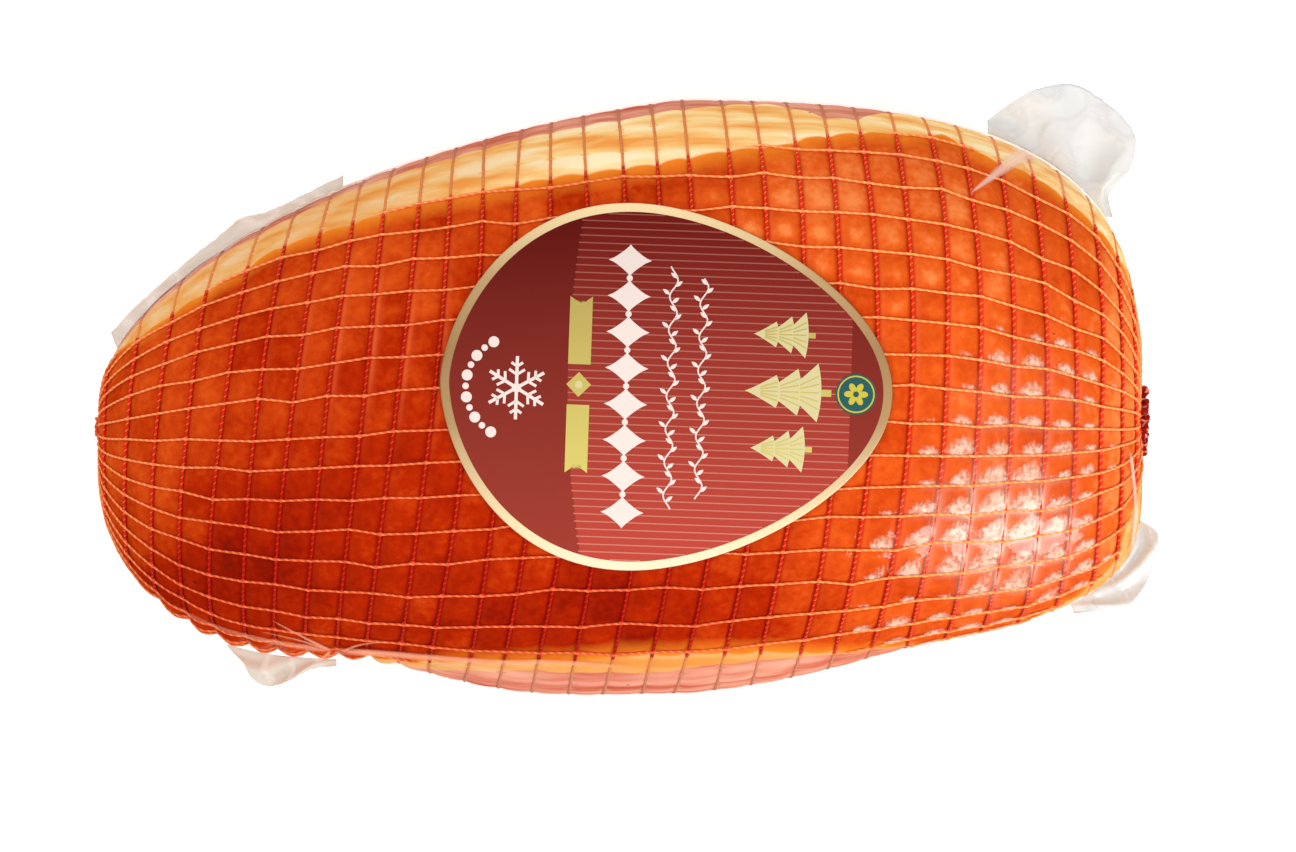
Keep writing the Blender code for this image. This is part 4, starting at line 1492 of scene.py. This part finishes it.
def rind_tint(tree, patches, fine):
    """The rind's colour, from smoky brown to pale orange, in soft patches and fine mottling, with the
    painted highlights in some cells that its tone carries.
    """
    tone = add_node(tree, "ShaderNodeAttribute", attribute_name="tone").outputs["Fac"]
    for scatter, size in ((patches, PATCH_STRENGTH), (fine, MOTTLE_STRENGTH)):
        about = add_node(tree, "ShaderNodeMath", {0: scatter, 1: 0.5}, operation="SUBTRACT").outputs[0]
        tone = add_node(
            tree, "ShaderNodeMath", {0: about, 1: size, 2: tone}, operation="MULTIPLY_ADD"
        ).outputs[0]
    ramp = add_node(tree, "ShaderNodeValToRGB", {"Fac": tone})
    set_stops(ramp, RIND_COLOURS)
    return ramp.outputs["Color"]


def cord_shadow(tree):
    """How much painted shade darkens the rind to dark red: in the grooves under the rings and strings, and
    in wide soft shadows by some rings.
    """
    dark = add_node(tree, "ShaderNodeAttribute", attribute_name="ring_shade").outputs["Fac"]
    # Painted shade in the grooves under the rings and strings
    for field, near, far, most in (("ring_gap", 0.5, 1.5, 0.6), ("string_gap", 0.3, 0.9, 0.25)):
        gap = add_node(tree, "ShaderNodeAttribute", attribute_name=field).outputs["Fac"]
        fall = {"Value": gap, "From Min": near, "From Max": far, "To Min": most, "To Max": 0.0}
        groove = add_node(tree, "ShaderNodeMapRange", fall).outputs[0]
        dark = add_node(tree, "ShaderNodeMath", {0: dark, 1: groove}, operation="MAXIMUM").outputs[0]
    return dark


def rind_colour(tree, patches, fine, rind_edge):
    """The rind through the film: painted shade by the cords, a painted highlight beside rings, golden near
    its edge.
    """
    glow = add_node(tree, "ShaderNodeAttribute", attribute_name="ring_glow").outputs["Fac"]
    fall = {"Value": rind_edge, "From Min": 0.5, "From Max": 9.0, "To Min": 0.72, "To Max": 0.0}
    near_edge = add_node(tree, "ShaderNodeMapRange", fall).outputs[0]
    rind = rind_tint(tree, patches, fine)
    # Painted shade by the cords, and a painted highlight beside the rings
    for share, code in ((cord_shadow(tree), "A01203"), (glow, "F46C34"), (near_edge, "FC962C")):
        rind = add_node(
            tree, "ShaderNodeMix", {0: share, 6: rind, 7: srgb(code)}, data_type="RGBA"
        ).outputs[2]
    return rind


def pore_cover(tree, place):
    """Where the few dark pores are: a small dot in about a fifth of the cells."""
    dots = add_node(tree, "ShaderNodeTexVoronoi", {"Vector": place, "Scale": PORE_SCALE}, feature="F1")
    chosen = add_node(tree, "ShaderNodeSeparateColor", {0: dots.outputs["Color"]}).outputs[0]
    kept = add_node(
        tree, "ShaderNodeMath", {0: chosen, 1: PORE_SHARE}, operation="LESS_THAN"
    ).outputs[0]
    away = dots.outputs["Distance"]
    fall = {"Value": away, "From Min": 0.02, "From Max": 0.045, "To Min": 0.8, "To Max": 0.0}
    pore = add_node(tree, "ShaderNodeMapRange", fall).outputs[0]
    return add_node(tree, "ShaderNodeMath", {0: pore, 1: kept}, operation="MULTIPLY").outputs[0]


def fat_colour(tree, place, streaks):
    """Cream fat in streaks, darker amber in front of the label and towards the left end."""
    ramp = add_node(tree, "ShaderNodeValToRGB", {"Fac": streaks})
    set_stops(ramp, FAT_COLOURS)
    apart = add_node(tree, "ShaderNodeSeparateXYZ", {0: place}).outputs
    parts = []
    # Darker amber towards the front and towards the left end
    for axis, near, far, most in (("Y", -0.008, -0.045, 0.68), ("X", -0.005, -0.070, 0.5)):
        rise = {"Value": apart[axis], "From Min": near, "From Max": far, "To Min": 0.0, "To Max": most}
        parts.append(add_node(tree, "ShaderNodeMapRange", rise).outputs[0])
    amber_share = add_node(
        tree, "ShaderNodeMath", {0: parts[0], 1: parts[1]}, operation="MAXIMUM"
    ).outputs[0]
    colours = {0: amber_share, 6: ramp.outputs["Color"], 7: srgb("D88840")}
    return add_node(tree, "ShaderNodeMix", colours, data_type="RGBA").outputs[2]


def fat_and_lean_colour(tree, place):
    """What shows past the rind's edge: fat first, and dusky pink lean past the fat's edge."""
    lengthwise = add_node(
        tree, "ShaderNodeMapping", {"Vector": place, "Scale": (0.12, 1.0, 1.0)}
    ).outputs[0]
    grain = {"Vector": lengthwise, "Scale": STREAK_SCALE, "Detail": 4.0}
    streaks = add_node(tree, "ShaderNodeTexNoise", grain).outputs["Fac"]
    lean = add_node(tree, "ShaderNodeValToRGB", {"Fac": streaks})
    set_stops(lean, LEAN_COLOURS)
    fat_edge = add_node(tree, "ShaderNodeAttribute", attribute_name="fat_edge").outputs["Fac"]
    step = {"Value": fat_edge, "From Min": -0.5, "From Max": 0.6}
    is_fat = add_node(tree, "ShaderNodeMapRange", step, interpolation_type="SMOOTHSTEP").outputs[0]
    colours = {0: is_fat, 6: lean.outputs["Color"], 7: fat_colour(tree, place, streaks)}
    return add_node(tree, "ShaderNodeMix", colours, data_type="RGBA").outputs[2]


def smoked_rind_material():
    """Smoked pork rind with its fat and lean: mottled orange-red skin, streaky cream fat, pink meat.

    It has no gloss of its own, because all the gloss is the film's.
    """
    material, tree = new_material("smoked_rind_fat_and_lean")
    place = add_node(tree, "ShaderNodeTexCoord").outputs["Object"]
    rough = {"Vector": place, "Scale": PATCH_SCALE, "Detail": 4.0}
    patches = add_node(tree, "ShaderNodeTexNoise", rough).outputs["Fac"]
    mottled = {"Vector": place, "Scale": MOTTLE_SCALE, "Detail": 3.0}
    fine = add_node(tree, "ShaderNodeTexNoise", mottled).outputs["Fac"]
    rind_edge = add_node(tree, "ShaderNodeAttribute", attribute_name="rind_edge").outputs["Fac"]
    step = {"Value": rind_edge, "From Min": -0.5, "From Max": 0.9}
    is_rind = add_node(tree, "ShaderNodeMapRange", step, interpolation_type="SMOOTHSTEP").outputs[0]
    soft, rind = fat_and_lean_colour(tree, place), rind_colour(tree, patches, fine, rind_edge)
    colour = add_node(
        tree, "ShaderNodeMix", {0: is_rind, 6: soft, 7: rind}, data_type="RGBA"
    ).outputs[2]
    pored = {0: pore_cover(tree, place), 6: colour, 7: srgb("2A0A04")}
    colour = add_node(tree, "ShaderNodeMix", pored, data_type="RGBA").outputs[2]
    bump = add_node(
        tree, "ShaderNodeBump", {"Strength": 0.25, "Distance": 0.0003, "Height": fine}
    ).outputs[0]
    look = {"Base Color": colour, "Roughness": 0.6, "Normal": bump, "Specular IOR Level": 0.0}
    shader = add_node(tree, "ShaderNodeBsdfPrincipled", look)
    add_node(tree, "ShaderNodeOutputMaterial", {"Surface": shader.outputs[0]})
    return material


def tone_ramp(tree, low_code, high_code):
    """A colour that goes with the rind's tone, as seen through the same film."""
    tone = add_node(tree, "ShaderNodeAttribute", attribute_name="tone").outputs["Fac"]
    share = add_node(
        tree, "ShaderNodeMapRange", {"Value": tone, "From Min": 0.34, "From Max": 0.74}
    ).outputs[0]
    colours = {0: share, 6: srgb(low_code), 7: srgb(high_code)}
    return add_node(tree, "ShaderNodeMix", colours, data_type="RGBA").outputs[2]


def cord_material(name, cord, strand_and_highlight, spacing, share, fade):
    """Covered elastic yarn: a matt twisted cord whose paler strand, with a painted highlight on its crest,
    shows at each turn.
    """
    material, tree = new_material(name)
    along = add_node(tree, "ShaderNodeAttribute", attribute_name="along").outputs["Fac"]
    round_x = add_node(tree, "ShaderNodeAttribute", attribute_name="round_x").outputs["Fac"]
    round_y = add_node(tree, "ShaderNodeAttribute", attribute_name="round_y").outputs["Fac"]
    turns = add_node(
        tree, "ShaderNodeMath", {0: along, 1: 2 * pi / spacing}, operation="MULTIPLY"
    ).outputs[0]
    ahead = add_node(tree, "ShaderNodeMath", {0: turns}, operation="COSINE").outputs[0]
    aside = add_node(tree, "ShaderNodeMath", {0: turns}, operation="SINE").outputs[0]
    first = add_node(tree, "ShaderNodeMath", {0: ahead, 1: round_x}, operation="MULTIPLY").outputs[0]
    wound = add_node(
        tree, "ShaderNodeMath", {0: aside, 1: round_y, 2: first}, operation="MULTIPLY_ADD"
    ).outputs[0]
    # The pale crest at each turn: the paler strand with a painted highlight
    crest = {"Value": wound, "From Min": 1 - share, "From Max": 1 - 0.3 * share}
    pale = add_node(tree, "ShaderNodeMapRange", crest).outputs[0]
    dark, light = tone_ramp(tree, *cord), tone_ramp(tree, *strand_and_highlight)
    colour = add_node(tree, "ShaderNodeMix", {0: pale, 6: dark, 7: light}, data_type="RGBA").outputs[2]
    for field, code, most in (("on_fat", "F4B86C", fade), ("on_lean", "C8806A", 0.8)):
        cover = add_node(tree, "ShaderNodeAttribute", attribute_name=field).outputs["Fac"]
        cover = add_node(tree, "ShaderNodeMath", {0: cover, 1: most}, operation="MULTIPLY").outputs[0]
        colour = add_node(
            tree, "ShaderNodeMix", {0: cover, 6: colour, 7: srgb(code)}, data_type="RGBA"
        ).outputs[2]
    look = {"Base Color": colour, "Roughness": 0.7, "Specular IOR Level": 0.05}
    shader = add_node(tree, "ShaderNodeBsdfPrincipled", look)
    add_node(tree, "ShaderNodeOutputMaterial", {"Surface": shader.outputs[0]})
    return material


def glint_patch(tree, place):
    """How strong the painted highlight is: half-moons with ragged, streaky edges."""
    lifted = add_node(tree, "ShaderNodeAttribute", attribute_name="lifted").outputs["Fac"]
    combed = add_node(
        tree, "ShaderNodeMapping", {"Vector": place, "Scale": (1.0, 0.35, 0.35)}
    ).outputs[0]
    streaky = {"Vector": combed, "Scale": FILM_STRAND_SCALE, "Detail": 3.0}
    strands = add_node(tree, "ShaderNodeTexNoise", streaky).outputs["Fac"]
    spotty = {"Vector": place, "Scale": FILM_PATCH_SCALE, "Detail": 2.0}
    spots = add_node(tree, "ShaderNodeTexNoise", spotty).outputs["Fac"]
    ragged = add_node(
        tree, "ShaderNodeMath", {0: strands, 1: 0.8, 2: -0.46}, operation="MULTIPLY_ADD"
    ).outputs[0]
    torn = add_node(tree, "ShaderNodeMath", {0: lifted, 1: ragged}, operation="ADD").outputs[0]
    rise = {"Value": torn, "From Min": 0.0, "From Max": 0.46, "To Min": 0.0, "To Max": 0.86}
    patch = add_node(tree, "ShaderNodeMapRange", rise).outputs[0]
    there = add_node(
        tree, "ShaderNodeMath", {0: lifted, 1: 8.0}, operation="MULTIPLY", use_clamp=True
    ).outputs[0]
    patch = add_node(tree, "ShaderNodeMath", {0: patch, 1: there}, operation="MULTIPLY").outputs[0]
    rise = {"Value": spots, "From Min": 0.35, "From Max": 0.55, "To Min": 0.45, "To Max": 1.0}
    uneven = add_node(tree, "ShaderNodeMapRange", rise).outputs[0]
    return add_node(tree, "ShaderNodeMath", {0: patch, 1: uneven}, operation="MULTIPLY").outputs[0]


def film_material(name, sheen_share, milk_and_highlight_code):
    """Clear shrink film: see-through with hard bright glints, milky where creased, and pale where it
    carries painted highlights and painted sheen.
    """
    material, tree = new_material(name)
    place = add_node(tree, "ShaderNodeTexCoord").outputs["Object"]
    haze = add_node(tree, "ShaderNodeAttribute", attribute_name="haze").outputs["Fac"]
    # Painted highlights on the film, in the milk's colour
    patch = glint_patch(tree, place)
    milk_and_highlight = add_node(tree, "ShaderNodeMath", {0: haze, 1: patch}, operation="MAXIMUM").outputs[0]
    soft = {"Vector": place, "Scale": FILM_WAVE_SCALE, "Detail": 2.0}
    waves = add_node(tree, "ShaderNodeTexNoise", soft).outputs["Fac"]
    bump = add_node(
        tree, "ShaderNodeBump", {"Strength": 0.35, "Distance": 0.0006, "Height": waves}
    ).outputs[0]
    fresnel = add_node(tree, "ShaderNodeFresnel", {"IOR": 1.45, "Normal": bump}).outputs[0]
    shine = add_node(
        tree, "ShaderNodeMath", {0: fresnel, 1: sheen_share}, operation="MINIMUM"
    ).outputs[0]
    clear = add_node(tree, "ShaderNodeBsdfTransparent", {"Color": (1, 1, 1, 1)}).outputs[0]
    bright = {"Color": (1, 1, 1, 1), "Roughness": 0.1, "Normal": bump}
    gloss = add_node(tree, "ShaderNodeBsdfAnisotropic", bright).outputs[0]
    milk = add_node(tree, "ShaderNodeBsdfDiffuse", {"Color": srgb(milk_and_highlight_code)}).outputs[0]
    body = add_node(tree, "ShaderNodeMixShader", {0: milk_and_highlight, 1: clear, 2: milk}).outputs[0]
    both = add_node(tree, "ShaderNodeMixShader", {0: shine, 1: body, 2: gloss}).outputs[0]
    add_node(tree, "ShaderNodeOutputMaterial", {"Surface": both})
    return material


def ink_material(name, back_code, front_code):
    """Printing ink on coated stock: even colour and a soft glare, with painted light that makes it darker
    towards the label's back edge.
    """
    material, tree = new_material(name)
    place = add_node(tree, "ShaderNodeTexCoord").outputs["Object"]
    across = add_node(tree, "ShaderNodeSeparateXYZ", {0: place}).outputs["Y"]
    share = add_node(
        tree, "ShaderNodeMapRange", {"Value": across, "From Min": -0.048, "From Max": 0.056}
    ).outputs[0]
    grain = {"Vector": place, "Scale": INK_SCALE, "Detail": 2.0}
    mottle = add_node(tree, "ShaderNodeTexNoise", grain).outputs["Fac"]
    # Painted light: lighter towards the label's front edge
    colours = {0: share, 6: srgb(front_code), 7: srgb(back_code)}
    colour = add_node(tree, "ShaderNodeMix", colours, data_type="RGBA").outputs[2]
    bump = add_node(
        tree, "ShaderNodeBump", {"Strength": 0.08, "Distance": 0.0001, "Height": mottle}
    ).outputs[0]
    look = {"Base Color": colour, "Roughness": 0.38, "Normal": bump, "Specular IOR Level": 0.08}
    shader = add_node(tree, "ShaderNodeBsdfPrincipled", look)
    add_node(tree, "ShaderNodeOutputMaterial", {"Surface": shader.outputs[0]})
    return material


def foil_material():
    """Pale gold foil rim with a satin glare and a painted reflection: brightest in front, warmer and
    darker at the middle.
    """
    material, tree = new_material("pale_gold_foil")
    place = add_node(tree, "ShaderNodeTexCoord").outputs["Object"]
    across = add_node(tree, "ShaderNodeSeparateXYZ", {0: place}).outputs["Y"]
    share = add_node(
        tree, "ShaderNodeMapRange", {"Value": across, "From Min": -0.045, "From Max": 0.055}
    ).outputs[0]
    ramp = add_node(tree, "ShaderNodeValToRGB", {"Fac": share})
    # A painted reflection: brightest in front, darker at the middle
    set_stops(ramp, FOIL_REFLECTION_COLOURS)
    brushed = {"Vector": place, "Scale": FOIL_SCALE, "Detail": 2.0}
    grain = add_node(tree, "ShaderNodeTexNoise", brushed).outputs["Fac"]
    bump = add_node(
        tree, "ShaderNodeBump", {"Strength": 0.15, "Distance": 0.0001, "Height": grain}
    ).outputs[0]
    look = {"Base Color": ramp.outputs["Color"], "Metallic": 0.12, "Roughness": 0.4, "Normal": bump}
    shader = add_node(tree, "ShaderNodeBsdfPrincipled", look)
    add_node(tree, "ShaderNodeOutputMaterial", {"Surface": shader.outputs[0]})
    return material


# The studio


def make_floor():
    """A matt pale floor that doesn't show in the film's gloss."""
    material, tree = new_material("pale_floor")
    glow = {"Emission Color": srgb("FFFFFF"), "Emission Strength": 0.3}
    shader = add_node(
        tree, "ShaderNodeBsdfPrincipled", {"Base Color": srgb("F4F3F1"), "Roughness": 0.9, **glow}
    )
    add_node(tree, "ShaderNodeOutputMaterial", {"Surface": shader.outputs[0]})
    reach = 3.0
    low = -0.3 * MM
    corners = [(-reach, -reach, low), (reach, -reach, low), (reach, reach, low), (-reach, reach, low)]
    floor = make_piece("floor", corners, [(0, 1, 2, 3)], [material], smooth=False)
    floor.visible_glossy = False


def make_light(name, place, target, size, power, glossy=True):
    data = bpy.data.lights.new(name, "AREA")
    data.shape = "RECTANGLE"
    data.size, data.size_y = size
    data.energy = power
    lamp = bpy.data.objects.new(name, data)
    lamp.location = place
    lamp.rotation_euler = (Vector(target) - Vector(place)).to_track_quat("-Z", "Y").to_euler()
    lamp.visible_glossy = glossy
    bpy.context.scene.collection.objects.link(lamp)


def make_world():
    world = bpy.data.worlds.new("studio")
    world.use_nodes = True
    background = world.node_tree.nodes["Background"]
    background.inputs["Color"].default_value = (1, 1, 1, 1)
    background.inputs["Strength"].default_value = 0.55
    world.cycles_visibility.glossy = False
    bpy.context.scene.world = world


def make_camera():
    """Looks straight down, as the photo does."""
    data = bpy.data.cameras.new("camera")
    data.sensor_width = SENSOR
    data.lens = SENSOR * CAMERA_DISTANCE / VIEW_WIDTH
    camera = bpy.data.objects.new("camera", data)
    camera.location = (CAMERA_X, CAMERA_Y, OUTLINE_HEIGHT + CAMERA_DISTANCE)
    camera.rotation_euler = (0, 0, 0)
    bpy.context.scene.collection.objects.link(camera)
    bpy.context.scene.camera = camera


def make_studio():
    """Soft light from above, a key light from the right for the glints, a weak one from the left."""
    make_floor()
    make_world()
    make_camera()
    make_light("overhead", (0, 0, 1.6), (0, 0, 0), (2.2, 2.2), 24, glossy=False)
    make_light("key", (0.62, -0.58, 0.46), (0.07, -0.02, 0.05), (0.5, 0.35), 4)
    make_light("left", (-0.75, 0.15, 0.85), (-0.05, 0, 0.06), (0.3, 0.3), 1.2, glossy=False)
    bpy.context.scene.view_settings.view_transform = "Standard"


def settle(piece, slot, *nodes):
    """The piece rides with the ham and may stand for solids; slot is not used."""
    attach(piece, "root")
    if nodes:
        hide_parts(*nodes)


def build_ham():
    """The ham, its film and the creases. Each film has its share of shine and its milk's colour."""
    # The clear film's milk colour also colours its painted highlights and painted sheen
    film = film_material("clear_shrink_film", 0.07, "EABEA4")
    settle(dressed_ham(smoked_rind_material()), "smoked_rind_in_film", "netted_ham")
    settle(film_skin(film), "clear_film")
    reddish = film_material("creased_film_on_rind", 0.02, "FFB08C")
    pale = film_material("creased_film", 0.04, "FFDCC4")
    settle(film_creases("film_creases_front", FRONT_CREASES, reddish), "clear_film")
    settle(film_creases("film_creases_back", BACK_CREASES, pale), "clear_film")


def build_net():
    """Each cord has colours on dark and on pale rind, the colours of its strand with its painted
    highlight, and its twist.
    """
    peach, peach_strand_and_highlight = ("D85630", "F68E4A"), ("F07A4C", "FFB070")
    ring_cord = cord_material(
        "red_elastic_cord", ("A81204", "E2320E"), ("C8361E", "FF8C66"), 2.2 * MM, 0.25, 0.5
    )
    string_cord = cord_material("peach_elastic_string", peach, peach_strand_and_highlight, 2.6 * MM, 0.9, 1.0)
    knot_cord = cord_material(
        "pink_string_knot", ("DC5030", "F87850"), ("DC5030", "F87850"), 1.0, 0.4, 1.0
    )
    dark_cord = cord_material(
        "dark_gathered_cord", ("8E1208", "8E1208"), ("F0907C", "F0907C"), 3.0 * MM, 0.5, 0.0
    )
    cords = cord_tree()
    settle(net_rings(cords, ring_cord), "red_net_cord")
    settle(net_strings(cords, string_cord), "red_net_cord")
    settle(net_crossings(crossing_tree(), knot_cord), "red_net_cord")
    right_size = (KNOT_RIGHT_RADIUS, KNOT_RIGHT_THICK, KNOT_RIGHT_LOOPS, KNOT_RIGHT_CORD)
    right = net_knot("knot_right", cords, X_RIGHT, *right_size, 3, dark_cord)
    settle(right, "red_net_cord", "net_knot_right")
    left_size = (KNOT_LEFT_RADIUS, KNOT_LEFT_THICK, KNOT_LEFT_LOOPS, KNOT_LEFT_CORD)
    left = net_knot("knot_left", cords, X_LEFT, *left_size, 4, string_cord)
    settle(left, "red_net_cord", "net_knot_left")


def build_label():
    """The label's card and its inks, each with its colour at the back edge and at the front edge."""
    # Each ink's step from its back colour to its front colour is painted light
    inks = [
        ink_material("maroon_ink", "580D0B", "92362A"),
        ink_material("red_ink", "62110D", "B14234"),
        ink_material("pinstripe_ink", "8A4A40", "C47466"),
        ink_material("white_ink", "DAC9C1", "DCCBC3"),
        ink_material("olive_ink", "9C8248", "D0C468"),
        ink_material("cream_ink", "BEB37F", "CABF8F"),
        ink_material("teal_ink", "204A49", "2C5A5A"),
        ink_material("yellow_ink", "B0A22C", "C2B446"),
    ]
    settle(label_card(foil_material()), "printed_label", "label")
    settle(label_print(inks), "printed_label")


def build_ears():
    """Each corner's root, edge, waves and height in mm, its milkiness, and its creases' seed."""
    loose = film_material("loose_crumpled_film", 0.06, "D8D8D6")
    warm = film_material("loose_film_by_the_meat", 0.06, "DACFC0")
    ears = (
        ("back_right", BACK_RIGHT_ROOT, BACK_RIGHT_EDGE, 1.4, 4, 0.78, 1.3, loose),
        ("front_right", FRONT_RIGHT_ROOT, FRONT_RIGHT_EDGE, 1.2, 3, 0.78, 4.9, loose),
        ("front_left", FRONT_LEFT_ROOT, FRONT_LEFT_EDGE, 1.2, 2, 0.66, 6.1, warm),
        ("back_left", BACK_LEFT_ROOT, BACK_LEFT_EDGE, 0.6, 5, 0.5, 9.4, warm),
    )
    for corner, root, edge, wave, height, milk, seed, film in ears:
        piece = film_ear("film_corner_" + corner, root, edge, wave * MM, height * MM, milk, seed, film)
        settle(piece, "clear_film", "film_ear_" + corner)


def build():
    make_studio()
    build_ham()
    build_net()
    build_label()
    build_ears()


build()
